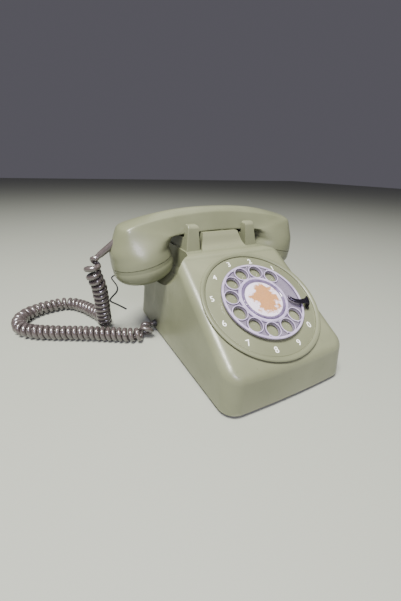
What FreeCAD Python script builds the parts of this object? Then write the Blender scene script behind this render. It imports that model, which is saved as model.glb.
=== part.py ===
import FreeCAD, Part
import math
import os
from FreeCAD import Vector, Rotation, Placement

# Rotary desk telephone with handset, dial, hook switch, ringer and curly cord
# The frame has +Z up, +X to the right as seen from the front and the front at -Y
# The origin is on the table, under the middle of the housing
# All lengths are in millimetres and all angles in degrees

# Housing sizes
body_depth = 216.0
front_half_width = 63.2
rear_half_width = 70.6
front_bow = 2.0
rear_bow = 4.0
wall_draft = 5.0
front_corner_radius = 14.0
rear_corner_radius = 26.0
ridge_radius = 9.0
wall = 2.6
skirt_gap = 4.0
crest_height = 97.0
crest_radius = 20.0
brow_radius = 10.0
rear_brow_height = 62.0
rear_brow_start = 76.0
rear_brow_end = 104.0

# Cradle on top of the housing
cradle_y = 40.5
ear_inner = 27.3
ear_outer = 42.2
ear_thickness = 11.5
ear_lean = 5.0
ear_height = 24.0
ear_draw_in = 4.2
ear_front_radius = 4.5
ear_corner_radius = 2.6
ear_bevel = 0.8
cradle_gap = 34.4
panel_height = 15.0
panel_foot_half = 28.5
panel_top_half = 21.4
panel_inner_foot_half = 23.0
panel_inner_top_half = 20.0
panel_top_run = 6.0
panel_front_run = 7.1
panel_root_radius = 12.0
panel_root_sink = 0.1
panel_rear = 26.0
rear_panel_foot_half = 26.0
rear_panel_top_run = 5.0
rear_panel_run = 14.0
saddle_height = 11.5
scoop_margin = 1.0
scoop_inner_y = 37.4
scoop_inner_z = 26.0
scoop_outer_y = 59.3
scoop_outer_z = 39.0
scoop_round_x = 3.0
scoop_round_y = 8.0
scoop_round_z = 6.0
scoop_reach = 28.5
scoop_centre_z = 95.0

# Base plate, feet and the screws that hold the housing
plate_z = 3.5
plate_thickness = 1.2
plate_clearance = 0.5
foot_radius = 7.0
foot_x = 47.0
foot_y = 84.0
foot_stem_radius = 2.5
foot_chamfer = 1.0
boss_radius = 5.0
boss_y = 92.0
screw_radius = 2.0
screw_head_radius = 3.6
screw_head_height = 1.8
screw_length = 11.0
screw_clearance = 0.2
cut_margin = 1.0

# Dial
dial_y = -54.5
dial_z = 65.0
dial_slope = 31.5
dial_opening_radius = 44.0
number_plate_radius = 55.5
number_plate_rim = 1.6
number_plate_thickness = 1.4
number_plate_rim_height = 2.4
number_plate_bevel = 0.6
number_plate_bore = 4.0
wheel_radius = 38.8
wheel_gap = 1.6
wheel_thickness = 2.0
wheel_rim_height = 0.9
wheel_rim_chamfer = 0.54
wheel_top_bevel = 0.7
wheel_under_bevel = 0.5
finger_circle_radius = 30.0
finger_hole_radius = 6.1
finger_rim_radius = 7.3
finger_hole_count = 10
finger_hole_step = 30.0
first_hole_angle = 45.0
card_radius = 19.1
card_thickness = 0.3
card_clearance = 0.1
retainer_radius = 20.6
retainer_thickness = 0.9
retainer_bevel = 0.4
hub_height = 1.2
hub_lip_inner = 0.2
hub_lip_outer = 1.4
hub_lip_foot = 2.8
stop_angle = -18.0
stop_foot_radius = 42.5
stop_tip_radius = 23.0
stop_width = 2.6
stop_thickness = 1.0
stop_clearance = 0.8
stop_foot_length = 4.0
stop_tip_bevel = 1.6

# Dial mechanism, behind the number plate
shaft_radius = 3.0
running_clearance = 0.05
frame_radius = 38.0
frame_plate_thickness = 1.5
frame_plate_depth = 1.5
frame_inner_depth = 21.0
frame_rear_radius = 36.0
frame_post_radius = 2.0
shaft_tail = 1.0
end_play = 0.3
gear_module = 0.8
main_teeth = 56
pinion_teeth = 14
second_teeth = 32
governor_teeth = 12
gear_thickness = 1.6
pinion_thickness = 3.0
gear_clearance = 1.2
tooth_share = 0.32
tooth_root_spread = 1.3
tooth_above_pitch = 0.8
tooth_below_pitch = 1.1
pulse_angle = 250.0
governor_angle = 340.0
side_shaft_radius = 1.5
governor_cup_radius = 8.5
governor_cup_height = 6.0
governor_cup_floor = 1.2
governor_cup_clearance = 0.35
governor_bore_clearance = 0.5
governor_weight_radius = 7.2
governor_weight_low = 1.6
governor_weight_drop = 0.4
governor_weight_gap = 1.4
governor_arm_half = 1.2
governor_arm_inset = 1.0
spring_outer_radius = 13.0
spring_inner_radius = 6.0
spring_height = 5.0
spring_bevel = 0.8
flange_half_length = 9.0
flange_width = 8.0
bracket_thickness = 1.6
bracket_front = -74.0
bracket_rear = -52.0
bracket_foot_width = 12.0
bracket_rear_rise = 26.0
bracket_front_drop = 20.0

# Hook switch
plunger_x = 34.5
plunger_width = 8.0
plunger_length = 9.0
plunger_clearance = 0.3
plunger_rise = 13.4
plunger_collar_x = 0.7
plunger_collar_y = 1.5
plunger_collar_height = 2.0
plunger_travel = 5.0
lever_pivot_y = 74.0
lever_drop = 17.0
lever_bar_width = 8.0
lever_thickness = 2.0
lever_half_length = 37.0
lever_arm_x = 27.0
lever_arm_thickness = 1.6
lever_ear_radius = 4.0
hook_pin_radius = 1.5
bracket_post_x = 32.6
post_width = 12.0
contact_gap = 0.6
shelf_drop = 18.0
hook_leaf_drop = 7.2

# Network block, ringer and volume wheel
network_width = 58.0
network_length = 54.0
network_height = 32.0
network_y = 47.0
gong_radius = 25.0
gong_height = 13.0
gong_wall = 1.4
gong_x = 30.0
gong_y = -22.0
gong_base_z = 14.0
ringer_frame_thickness = 2.0
coil_radius = 8.0
coil_length = 30.0
coil_y = 9.0
coil_z = 17.0
clapper_pivot_y = -3.0
clapper_ball_radius = 3.0
clapper_rod_radius = 0.9
clapper_z = 20.0
volume_x = 46.0
volume_y = -40.0
volume_radius = 13.0
volume_thickness = 1.6
volume_shaft_radius = 2.5
volume_notches = 18
volume_notch_radius = 0.9

# Handset
cup_x = 78.4
cup_seam_z = 86.7
cup_radius = 30.3
cup_tilt = 12.2
cup_cavity_rise = 8.0
cap_height = 19.0
cap_flat_radius = 21.0
cap_wall = 2.4
cap_collar_height = 4.0
cap_gap = 0.2
unit_radius = 24.0
receiver_height = 10.0
transmitter_height = 8.0
contact_cup_height = 3.0
cap_hole_radius = 1.3
neck_wall = 2.5
neck_length = 6.0
unit_low = -13.0
unit_rib_gap = 0.3
cap_lip = 1.2
cap_lip_height = 0.6
cap_side_share = 0.72
cap_inner_share = 0.6
cap_rib_outer = 18.0
cap_rib_inner = 16.2
unit_step_share = 0.6
unit_rear_share = 0.8
contact_cup_clearance = 0.3
contact_cup_bore = 2.0

crease_span = 1.5
edge_span = 2.4

# Sections of the right half of the handle, from its cup to the middle of the grip
# Each has its underside and top as (x, z), its half widths at the underside and at the top crease,
# the crease's depth below the top, and how far the top and the underside have left the cup's circle
handle_rows = [
    ((49.3, 104.0), (109.6, 94.9), 26.9, 24.0, 6.0, 0.15, 0.0),
    ((48.8, 106.0), (106.4, 103.6), 24.6, 20.0, 6.0, 0.45, 0.0),
    ((48.2, 107.4), (103.6, 111.6), 22.6, 18.0, 5.6, 0.75, 0.1),
    ((47.4, 108.4), (101.0, 118.4), 20.8, 17.0, 5.2, 0.95, 0.2),
    ((46.2, 109.0), (98.2, 121.0), 19.8, 16.4, 5.2, 1.0, 0.3),
    ((43.6, 109.7), (89.0, 124.4), 17.8, 14.6, 5.6, 1.0, 0.5),
    ((38.8, 110.6), (64.0, 130.5), 16.1, 11.8, 6.2, 1.0, 0.85),
    ((31.6, 111.4), (42.0, 133.8), 15.6, 10.0, 6.0, 1.0, 1.0),
    ((16.0, 112.3), (20.0, 135.2), 15.4, 9.8, 5.0, 1.0, 1.0),
    ((0.0, 112.6), (0.0, 135.4), 15.4, 9.8, 4.4, 1.0, 1.0),
]
cup_rows = [(0.0, 0.0), (4.0, 0.3), (8.0, 1.5)]

# Curly cord, relief and line wire
cord_diameter = 4.8
curl_mean_radius = 5.3
curl_pitch = 6.0
curl_gap = 0.6
relief_start = (-100.0, cradle_y, 107.2)
relief_end = (-118.0, cradle_y, 94.5)
relief_radius = 3.5
relief_tip_radius = 3.0
grommet_y = 38.0
grommet_z = 10.5
grommet_radius = 4.2
grommet_stem_radius = 2.7
grommet_stem_length = 8.0
grommet_flange = 1.4
nose_step = 0.6
stem_clearance = 0.1
cord_end_gap = 0.1
grommet_wall_x = -68.4
wire_radius = 1.0
wire_exit_x = -38.0
wire_exit_z = 9.0
gland_radius = 2.6
gland_stem_radius = 1.5
gland_wall_gap = 5.5
gland_tip_radius = 1.4

# Points of the curly cord's route, from the handset's relief to the housing
cord_route = [
    (-118.08, 40.5, 94.44),
    (-124.0, 40.5, 90.27),
    (-127.0, 41.0, 80.0),
    (-122.0, 44.0, 64.0),
    (-121.0, 49.0, 46.0),
    (-120.5, 54.0, 28.0),
    (-119.5, 62.0, 10.5),
    (-118.5, 82.0, 8.2),
    (-127.0, 101.0, 8.2),
    (-138.0, 122.0, 8.2),
    (-153.0, 137.0, 8.2),
    (-172.0, 136.5, 8.2),
    (-191.0, 131.0, 8.2),
    (-206.0, 117.0, 8.2),
    (-205.0, 91.0, 8.2),
    (-187.0, 75.5, 8.2),
    (-162.0, 63.0, 8.2),
    (-137.0, 50.5, 8.2),
    (-114.0, 37.5, 8.2),
    (-95.0, 26.5, 8.2),
    (-83.0, 25.0, 8.6),
    (-79.5, 38.0, 10.5),
    (-72.0, 38.0, 10.5),
]

# Points of the cut line wire, from the housing's rear to its bare end
wire_route = [
    (-38.0, 114.0, 9.0),
    (-38.0, 126.0, 9.0),
    (-39.0, 144.0, 2.4),
    (-42.0, 170.0, 1.1),
    (-47.0, 200.0, 1.1),
    (-56.0, 224.0, 1.1),
    (-71.0, 236.0, 1.1),
    (-84.0, 226.0, 1.1),
    (-82.5, 204.0, 1.1),
    (-81.5, 182.0, 1.1),
    (-86.0, 163.0, 1.1),
    (-96.0, 149.0, 1.1),
    (-103.0, 136.0, 1.1),
    (-94.5, 121.0, 1.1),
    (-87.0, 103.0, 1.1),
]

os.makedirs("parts", exist_ok=True)
X_AXIS = Vector(1, 0, 0)
Y_AXIS = Vector(0, 1, 0)
Z_AXIS = Vector(0, 0, 1)
front_y = -body_depth / 2
rear_y = body_depth / 2
plate_top = plate_z + plate_thickness
slope_tangent = math.tan(math.radians(dial_slope))
dial_place = Placement(Vector(0, dial_y, dial_z), Rotation(X_AXIS, dial_slope))


def save(name, shape):
    shape.exportStep("parts/" + name + ".step")
    print(name, "solids", len(shape.Solids), "volume", round(shape.Volume, 1), "valid", shape.isValid())


def box(low, high):
    size = [b - a for a, b in zip(low, high)]
    return Part.makeBox(size[0], size[1], size[2], Vector(*low))


def rod(radius, start, end):
    start = Vector(*start)
    way = Vector(*end) - start
    return Part.makeCylinder(radius, way.Length, start, way)


def polygon_wire(points):
    return Part.makePolygon([Vector(*p) for p in points] + [Vector(*points[0])])


def prism(points, way):
    return Part.Face(polygon_wire(points)).extrude(Vector(*way))


def revolve_profile(points):
    # points are (radius, height) pairs, turned about the local Z axis
    face = Part.Face(polygon_wire([(r, 0, z) for r, z in points]))
    return face.revolve(Vector(0, 0, 0), Z_AXIS, 360)


def in_dial(shape):
    placed = shape.copy()
    placed.Placement = dial_place.multiply(placed.Placement)
    return placed


def polar(radius, angle, height=0.0):
    turn = math.radians(angle)
    return Vector(radius * math.cos(turn), radius * math.sin(turn), height)


# Housing form, used for the outer skin and, drawn in by the wall, for the hollow
def slope_height(y):
    return dial_z + (y - dial_y) * slope_tangent


def plan_wire(z, inset):
    front = front_y + inset
    rear = rear_y - inset
    left_front = Vector(-front_half_width + inset, front + front_bow, z)
    right_front = Vector(front_half_width - inset, front + front_bow, z)
    right_rear = Vector(rear_half_width - inset, rear - rear_bow, z)
    left_rear = Vector(-rear_half_width + inset, rear - rear_bow, z)
    edges = [
        Part.Arc(left_front, Vector(0, front, z), right_front).toShape(),
        Part.LineSegment(right_front, right_rear).toShape(),
        Part.Arc(right_rear, Vector(0, rear, z), left_rear).toShape(),
        Part.LineSegment(left_rear, left_front).toShape(),
    ]
    return Part.Wire(edges)


def draft_at(z):
    return (z - skirt_gap) * math.tan(math.radians(wall_draft))


def side_profile(inset, low):
    # Slope, rounded crest, level top, rounded brow and rear fall, all at the same inset
    run = math.radians(dial_slope)
    drop = inset / math.cos(run)
    top = crest_height - inset
    crest_y = dial_y + (top + drop - dial_z) / slope_tangent
    reach = 200.0
    front_point = Vector(0, front_y - reach, slope_height(front_y - reach) - drop)
    crest_tangent = crest_radius * math.tan(run / 2)
    slope_end = Vector(0, crest_y - crest_tangent * math.cos(run), top - crest_tangent * math.sin(run))
    level_start = Vector(0, crest_y + crest_tangent, top)
    crest_centre = Vector(0, level_start.y, top - crest_radius)
    crest_mid = crest_centre + Vector(0, -math.sin(run / 2), math.cos(run / 2)) * crest_radius
    fall = math.atan2(crest_height - rear_brow_height, rear_brow_end - rear_brow_start)
    brow_y = rear_brow_start - inset * math.tan(fall / 2)
    brow_tangent = brow_radius * math.tan(fall / 2)
    level_end = Vector(0, brow_y - brow_tangent, top)
    fall_way = Vector(0, math.cos(fall), -math.sin(fall))
    fall_start = Vector(0, brow_y, top) + fall_way * brow_tangent
    brow_centre = Vector(0, level_end.y, top - brow_radius)
    brow_mid = brow_centre + Vector(0, math.sin(fall / 2), math.cos(fall / 2)) * brow_radius
    fall_end = fall_start + fall_way * reach
    edges = [
        Part.LineSegment(front_point, slope_end).toShape(),
        Part.Arc(slope_end, crest_mid, level_start).toShape(),
        Part.LineSegment(level_start, level_end).toShape(),
        Part.Arc(level_end, brow_mid, fall_start).toShape(),
        Part.LineSegment(fall_start, fall_end).toShape(),
        Part.LineSegment(fall_end, Vector(0, fall_end.y, low - reach)).toShape(),
        Part.LineSegment(Vector(0, fall_end.y, low - reach), Vector(0, front_point.y, low - reach)).toShape(),
        Part.LineSegment(Vector(0, front_point.y, low - reach), front_point).toShape(),
    ]
    return Part.Face(Part.Wire(edges))


def housing_form(inset, low):
    high = crest_height + 2 * crest_radius
    lower = plan_wire(low, inset + draft_at(low))
    upper = plan_wire(high, inset + draft_at(high))
    block = Part.makeLoft([lower, upper], True, True)
    corners = [e for e in block.Edges if e.BoundBox.ZLength > high - low - 1]
    front_edges = [e for e in corners if e.CenterOfMass.y < 0]
    block = block.makeFillet(front_corner_radius - inset, front_edges)
    corners = [e for e in block.Edges if e.BoundBox.ZLength > high - low - 1]
    rear_edges = [e for e in corners if e.CenterOfMass.y > body_depth / 3]
    block = block.makeFillet(rear_corner_radius - inset, rear_edges)
    half = 2 * rear_half_width
    top = side_profile(inset, low)
    top.translate(Vector(-half, 0, 0))
    form = block.common(top.extrude(Vector(2 * half, 0, 0)))
    rim = [e for e in form.Edges if is_top_rim(e, low)]
    return form.makeFillet(ridge_radius - inset, rim)


def is_top_rim(edge, low):
    # The rim runs round the top: it stays high and it isn't one of the creases across the top
    if edge.BoundBox.ZMin < low + ridge_radius:
        return False
    across = edge.BoundBox.XLength > front_half_width and edge.BoundBox.YLength < 0.01
    return not across


def scoop(side, grow):
    # A cone of oval section with a rounded inner end, which clears one cup and leaves the shoulder
    start_x = ear_outer + scoop_margin
    wires = [scoop_wire(side * (start_x - grow), 0.0, grow, 1.0)]
    for step in (scoop_round_x / scoop_reach, 1.0, 2.0):
        wires.append(scoop_wire(side * (start_x + scoop_reach * step), step, grow, 0.0))
    return Part.makeLoft(wires, True, True)


def scoop_wire(x, step, grow, draw_in):
    semi_y = scoop_inner_y + (scoop_outer_y - scoop_inner_y) * step + grow - scoop_round_y * draw_in
    semi_z = scoop_inner_z + (scoop_outer_z - scoop_inner_z) * step + grow - scoop_round_z * draw_in
    return oval_wire(Vector(x, cradle_y, scoop_centre_z), semi_y, semi_z)


def oval_wire(centre, semi_y, semi_z):
    if semi_y >= semi_z:
        first = centre + Vector(0, semi_y, 0)
        second = centre + Vector(0, 0, semi_z)
    else:
        first = centre + Vector(0, 0, semi_z)
        second = centre + Vector(0, semi_y, 0)
    return Part.Wire([Part.Ellipse(first, second, centre).toShape()])


def ear(side, way):
    # One horn of the cradle: it leans back and its outer side leans in towards the top
    low = crest_height - 2 * wall
    high = crest_height + ear_height
    near = cradle_y + way * cradle_gap / 2
    far = near + way * ear_thickness
    outline = prism([
        (side * ear_inner, near, low), (side * ear_outer, near, low),
        (side * ear_outer_at(high), near, high), (side * ear_inner, near, high)],
        (0, far - near, 0))
    corner = [e for e in outline.Edges if e.BoundBox.XLength < 0.01
              and abs(e.CenterOfMass.x - side * ear_inner) < 0.01 and abs(e.CenterOfMass.z - high) < 0.01]
    outline = outline.makeFillet(ear_corner_radius, corner)
    horn = outline.common(ear_profile(near, way, low, high)).removeSplitter()
    outer = []
    for edge in horn.Edges:
        centre = edge.CenterOfMass
        on_side = abs(centre.x - side * ear_outer_at(centre.z)) < 0.01
        if on_side and centre.z > crest_height and abs(centre.y - near) > 0.01:
            outer.append(edge)
    return horn.makeFillet(ear_bevel, outer)


def ear_outer_at(z):
    # How far out the leaning outer side of the cradle stands at a height
    low = crest_height - 2 * wall
    return ear_outer - ear_draw_in * (z - low) / (ear_height + 2 * wall)


def ear_profile(near, way, low, high):
    # The ear as seen from the side, as a slab across the whole cradle
    far = near + way * ear_thickness
    high_far = far - way * ear_lean
    start = -ear_outer - cut_margin
    slab = prism([(start, near, low), (start, near, high), (start, high_far, high), (start, far, low)],
                 (-2 * start, 0, 0))
    brow = [e for e in slab.Edges if abs(e.CenterOfMass.y - high_far) < 0.01 and abs(e.CenterOfMass.z - high) < 0.01]
    return slab.makeFillet(ear_front_radius, brow)


def panel_block(near, top_y, foot_y, foot_half):
    # A block between two ears, from its foot on the housing to a narrower level top
    foot = crest_height - wall
    top = crest_height + panel_height
    lower = polygon_wire([
        (-foot_half, foot_y, foot), (foot_half, foot_y, foot),
        (panel_inner_foot_half, near, foot), (-panel_inner_foot_half, near, foot)])
    upper = polygon_wire([
        (-panel_top_half, top_y, top), (panel_top_half, top_y, top),
        (panel_inner_top_half, near, top), (-panel_inner_top_half, near, top)])
    return Part.makeLoft([lower, upper], True, True)


def front_panel_slab(top_y):
    # The steep front wall as seen from the side, with a wide hollow root on the level top
    foot = crest_height - wall
    top = crest_height + panel_height
    floor = crest_height - panel_root_sink
    lean = math.atan2(panel_front_run, panel_height)
    corner_y = top_y - (top - floor) * math.tan(lean)
    reach = panel_root_radius * math.tan((math.pi / 2 - lean) / 2)
    start_x = -ear_outer
    root = Vector(start_x, corner_y - reach, floor)
    centre = root + Vector(0, 0, panel_root_radius)
    inward = (Vector(start_x, corner_y, floor) - centre).normalize()
    wall_foot = Vector(start_x, corner_y + reach * math.sin(lean), floor + reach * math.cos(lean))
    edges = [
        Part.Arc(root, centre + inward * panel_root_radius, wall_foot).toShape(),
        Part.LineSegment(wall_foot, Vector(start_x, top_y, top)).toShape(),
        Part.LineSegment(Vector(start_x, top_y, top), Vector(start_x, panel_rear, top)).toShape(),
        Part.LineSegment(Vector(start_x, panel_rear, top), Vector(start_x, panel_rear, foot)).toShape(),
        Part.LineSegment(Vector(start_x, panel_rear, foot), Vector(start_x, root.y, foot)).toShape(),
        Part.LineSegment(Vector(start_x, root.y, foot), root).toShape(),
    ]
    return Part.Face(Part.Wire(edges)).extrude(Vector(2 * ear_outer, 0, 0)), root.y


def cradle_panels():
    # A steep wall closes the front of the cradle and a ramp closes the rear
    slab, root_y = front_panel_slab(panel_rear - panel_top_run)
    front = panel_block(panel_rear, root_y, root_y, panel_foot_half).common(slab)
    near = 2 * cradle_y - panel_rear
    top_y = near + rear_panel_top_run
    return front, panel_block(near, top_y, top_y + rear_panel_run, rear_panel_foot_half)


def saddle(side):
    # The bridge between the front and the rear ear of one side, which the plunger passes through
    half = cradle_gap / 2 + ear_thickness / 2
    low = crest_height - 2 * wall
    high = crest_height + saddle_height
    start = cradle_y - half
    return prism([
        (side * ear_inner, start, low), (side * ear_outer, start, low),
        (side * ear_outer_at(high), start, high), (side * ear_inner, start, high)],
        (0, 2 * half, 0))


def plunger_hole(side):
    half_x = plunger_width / 2 + plunger_clearance
    half_y = plunger_length / 2 + plunger_clearance
    return box((side * plunger_x - half_x, cradle_y - half_y, crest_height - 3 * wall),
               (side * plunger_x + half_x, cradle_y + half_y, crest_height + saddle_height + wall))


def boss(y, skin):
    # A screw post from the base plate up to the skin, trimmed to its outside
    post = rod(boss_radius, (0, y, plate_top), (0, y, crest_height))
    return post.common(skin)


boss_rows = [-boss_y, boss_y]


def build_housing():
    outer = housing_form(0.0, skirt_gap)
    hollow = housing_form(wall, skirt_gap - 2 * wall)
    for side in (-1, 1):
        outer = outer.cut(scoop(side, 0.0))
        hollow = hollow.cut(scoop(side, wall))
    for side in (-1, 1):
        outer = outer.fuse(saddle(side))
        for way in (-1, 1):
            outer = outer.fuse(ear(side, way))
    for panel in cradle_panels():
        outer = outer.fuse(panel)
    shell = outer.cut(hollow)
    for row in boss_rows:
        shell = shell.fuse(boss(row, outer))
    for row in boss_rows:
        bore_top = plate_z + screw_length + cut_margin
        shell = shell.cut(rod(screw_radius + screw_clearance, (0, row, 0), (0, row, bore_top)))
    for side in (-1, 1):
        shell = shell.cut(plunger_hole(side))
    opening = Part.makeCylinder(dial_opening_radius, 4 * wall, Vector(0, 0, -3 * wall))
    shell = shell.cut(in_dial(opening))
    reach = 2 * rear_half_width
    cord_bore = grommet_stem_radius + stem_clearance
    shell = shell.cut(rod(cord_bore, (-reach, grommet_y, grommet_z), (-reach / 3, grommet_y, grommet_z)))
    wire_bore = gland_stem_radius + stem_clearance
    wire_inside = rear_y - 4 * wall - rear_bow
    shell = shell.cut(rod(wire_bore, (wire_exit_x, wire_inside, wire_exit_z), (wire_exit_x, reach, wire_exit_z)))
    return shell.removeSplitter()


housing = build_housing()
save("housing", housing)


# Base plate with the holes for the feet, the screws and the volume wheel's shaft
foot_places = [(x, y) for x in (-foot_x, foot_x) for y in (-foot_y, foot_y)]
plate_inset = wall + plate_clearance


def build_base_plate():
    outline = Part.Face(plan_wire(plate_z, plate_inset))
    plate = outline.extrude(Vector(0, 0, plate_thickness))
    upright = [e for e in plate.Edges if abs(e.BoundBox.ZLength - plate_thickness) < 0.01]
    front_edges = [e for e in upright if e.CenterOfMass.y < 0]
    plate = plate.makeFillet(front_corner_radius - plate_inset, front_edges)
    upright = [e for e in plate.Edges if abs(e.BoundBox.ZLength - plate_thickness) < 0.01]
    rear_edges = [e for e in upright if e.CenterOfMass.y > foot_y]
    plate = plate.makeFillet(rear_corner_radius - plate_inset, rear_edges)
    for x, y in foot_places:
        plate = plate.cut(rod(foot_stem_radius + running_clearance, (x, y, 0), (x, y, plate_top + cut_margin)))
    for y in boss_rows:
        plate = plate.cut(rod(screw_radius + screw_clearance, (0, y, 0), (0, y, plate_top + cut_margin)))
    high = plate_top + cut_margin
    hole = rod(volume_shaft_radius + running_clearance, (volume_x, volume_y, 0), (volume_x, volume_y, high))
    return plate.cut(hole)


def build_foot(x, y):
    pad = rod(foot_radius, (x, y, 0), (x, y, plate_z))
    rounded = [e for e in pad.Edges if e.BoundBox.ZMax < 0.01]
    pad = pad.makeChamfer(foot_chamfer, rounded)
    stem = rod(foot_stem_radius, (x, y, plate_z), (x, y, plate_top + foot_stem_radius))
    return pad.fuse(stem).removeSplitter()


def screw(head_radius, head_height, shank_radius, shank_length):
    # Head above the local origin, shank below it, with a driver's slot
    head = Part.makeCylinder(head_radius, head_height)
    top_edge = [e for e in head.Edges if e.BoundBox.ZMin > head_height - 0.01]
    head = head.makeFillet(head_height / 3, top_edge)
    shank = Part.makeCylinder(shank_radius, shank_length, Vector(0, 0, -shank_length))
    slot_half = head_height / 4
    slot = box((-head_radius, -slot_half, head_height / 2), (head_radius, slot_half, 2 * head_height))
    return head.fuse(shank).cut(slot).removeSplitter()


def placed(shape, where, way=Z_AXIS):
    moved = shape.copy()
    moved.Placement = Placement(Vector(*where), Rotation(Z_AXIS, way))
    return moved


def build_housing_screws():
    one = screw(screw_head_radius, screw_head_height, screw_radius, screw_length)
    return Part.makeCompound([placed(one, (0, y, plate_z), -Z_AXIS) for y in boss_rows])


save("base_plate", build_base_plate())
save("rubber_feet", Part.makeCompound([build_foot(x, y) for x, y in foot_places]))
save("housing_screws", build_housing_screws())


# Gears with straight-sided teeth and backlash
def gear_pitch_radius(teeth):
    return gear_module * teeth / 2


def gear(teeth, thickness, bore, tooth_angle):
    # One tooth points along tooth_angle and the lower face is at the local origin
    pitch_radius = gear_pitch_radius(teeth)
    tip = pitch_radius + tooth_above_pitch * gear_module
    root = pitch_radius - tooth_below_pitch * gear_module
    pitch = math.pi * gear_module
    points = []
    for k in range(teeth):
        centre = math.radians(tooth_angle) + 2 * math.pi * k / teeth
        root_half = tooth_root_spread * tooth_share * pitch / (2 * root)
        tip_half = tooth_share * pitch / (4 * tip)
        for radius, offset in ((root, -root_half), (tip, -tip_half), (tip, tip_half), (root, root_half)):
            points.append((radius * math.cos(centre + offset), radius * math.sin(centre + offset), 0))
    blank = Part.Face(polygon_wire(points)).extrude(Vector(0, 0, thickness))
    if bore > 0:
        blank = blank.cut(Part.makeCylinder(bore, 3 * thickness, Vector(0, 0, -thickness)))
    return blank


# Depths in the dial, measured along its normal from the housing's face
plate_face = number_plate_thickness
wheel_low = plate_face + wheel_gap
wheel_top = wheel_low + wheel_thickness
frame_front_top = -frame_plate_depth
frame_front_low = frame_front_top - frame_plate_thickness
frame_rear_top = -frame_inner_depth
frame_rear_low = frame_rear_top - frame_plate_thickness
pinion_overhang = (pinion_thickness - gear_thickness) / 2
main_gear_low = frame_front_low - gear_clearance - gear_thickness - pinion_overhang
pinion_low = main_gear_low - pinion_overhang
second_gear_low = pinion_low - gear_thickness
governor_pinion_low = second_gear_low - pinion_overhang
governor_cup_low = frame_rear_top
governor_cup_top = governor_cup_low + governor_cup_height
pulse_spot = polar(gear_pitch_radius(main_teeth) + gear_pitch_radius(pinion_teeth), pulse_angle)
governor_reach = gear_pitch_radius(second_teeth) + gear_pitch_radius(governor_teeth)
governor_spot = pulse_spot + polar(governor_reach, governor_angle)


def at(spot, depth):
    return Vector(spot.x, spot.y, depth)


def build_number_plate():
    outer = number_plate_radius
    rim = number_plate_rim_height
    profile = [
        (number_plate_bore, 0), (outer, 0), (outer, rim - number_plate_bevel),
        (outer - number_plate_bevel, rim), (outer - number_plate_rim, rim),
        (outer - 2 * number_plate_rim, plate_face), (number_plate_bore, plate_face)]
    return in_dial(revolve_profile(profile))


def build_finger_wheel():
    bore = shaft_radius + running_clearance
    lip_top = wheel_top + hub_height
    profile = [
        (bore, wheel_low), (wheel_radius - wheel_under_bevel, wheel_low),
        (wheel_radius, wheel_low + wheel_under_bevel), (wheel_radius, wheel_top - wheel_top_bevel),
        (wheel_radius - wheel_top_bevel, wheel_top), (retainer_radius + hub_lip_foot, wheel_top),
        (retainer_radius + hub_lip_outer, lip_top), (retainer_radius + hub_lip_inner, lip_top),
        (retainer_radius + hub_lip_inner, wheel_top), (bore, wheel_top)]
    wheel = revolve_profile(profile)
    for k in range(finger_hole_count):
        spot = polar(finger_circle_radius, first_hole_angle + finger_hole_step * k)
        rim = Part.makeCylinder(finger_rim_radius, wheel_rim_height, at(spot, wheel_top))
        top_edge = [e for e in rim.Edges if e.BoundBox.ZMin > wheel_top + wheel_rim_height - 0.01]
        wheel = wheel.fuse(rim.makeChamfer(wheel_rim_chamfer, top_edge))
    for k in range(finger_hole_count):
        spot = polar(finger_circle_radius, first_hole_angle + finger_hole_step * k)
        hole = Part.makeCylinder(finger_hole_radius, 3 * wheel_thickness, at(spot, wheel_low - wheel_thickness))
        wheel = wheel.cut(hole)
    return in_dial(wheel.removeSplitter())


def build_card():
    return in_dial(Part.makeCylinder(card_radius, card_thickness, Vector(0, 0, wheel_top)))


def build_retainer():
    low = wheel_top
    seat = wheel_top + card_thickness
    top = seat + retainer_thickness
    profile = [
        (0, seat), (card_radius + card_clearance, seat), (card_radius + card_clearance, low),
        (retainer_radius, low), (retainer_radius, top - retainer_bevel),
        (retainer_radius - retainer_bevel, top), (0, top)]
    return in_dial(revolve_profile(profile))


def build_finger_stop():
    # A bent strip: the foot lies on the number plate and the hook reaches in over the wheel
    low = wheel_top + wheel_rim_height + stop_clearance
    high = low + stop_thickness
    foot_end = stop_foot_radius + stop_foot_length
    profile = [
        (stop_foot_radius - stop_thickness, plate_face + stop_thickness),
        (stop_foot_radius - stop_thickness, low), (stop_tip_radius + stop_tip_bevel, low),
        (stop_tip_radius, low + stop_thickness / 3), (stop_tip_radius + stop_thickness / 3, high),
        (stop_foot_radius, high), (stop_foot_radius, plate_face + stop_thickness)]
    arm = prism([(r, -stop_width / 2, z) for r, z in profile], (0, stop_width, 0))
    foot = box((stop_foot_radius - stop_thickness, -stop_width, plate_face),
               (foot_end, stop_width, plate_face + stop_thickness))
    strip = arm.fuse(foot).removeSplitter()
    strip.rotate(Vector(0, 0, 0), Z_AXIS, stop_angle)
    return in_dial(strip)


post_angles = [45.0, 135.0, 200.0, 340.0]
stud_angles = [90.0, 180.0, 0.0]
post_circle_radius = 33.5
dial_screw_x = 34.0
dial_screw_head_radius = 2.8


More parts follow.
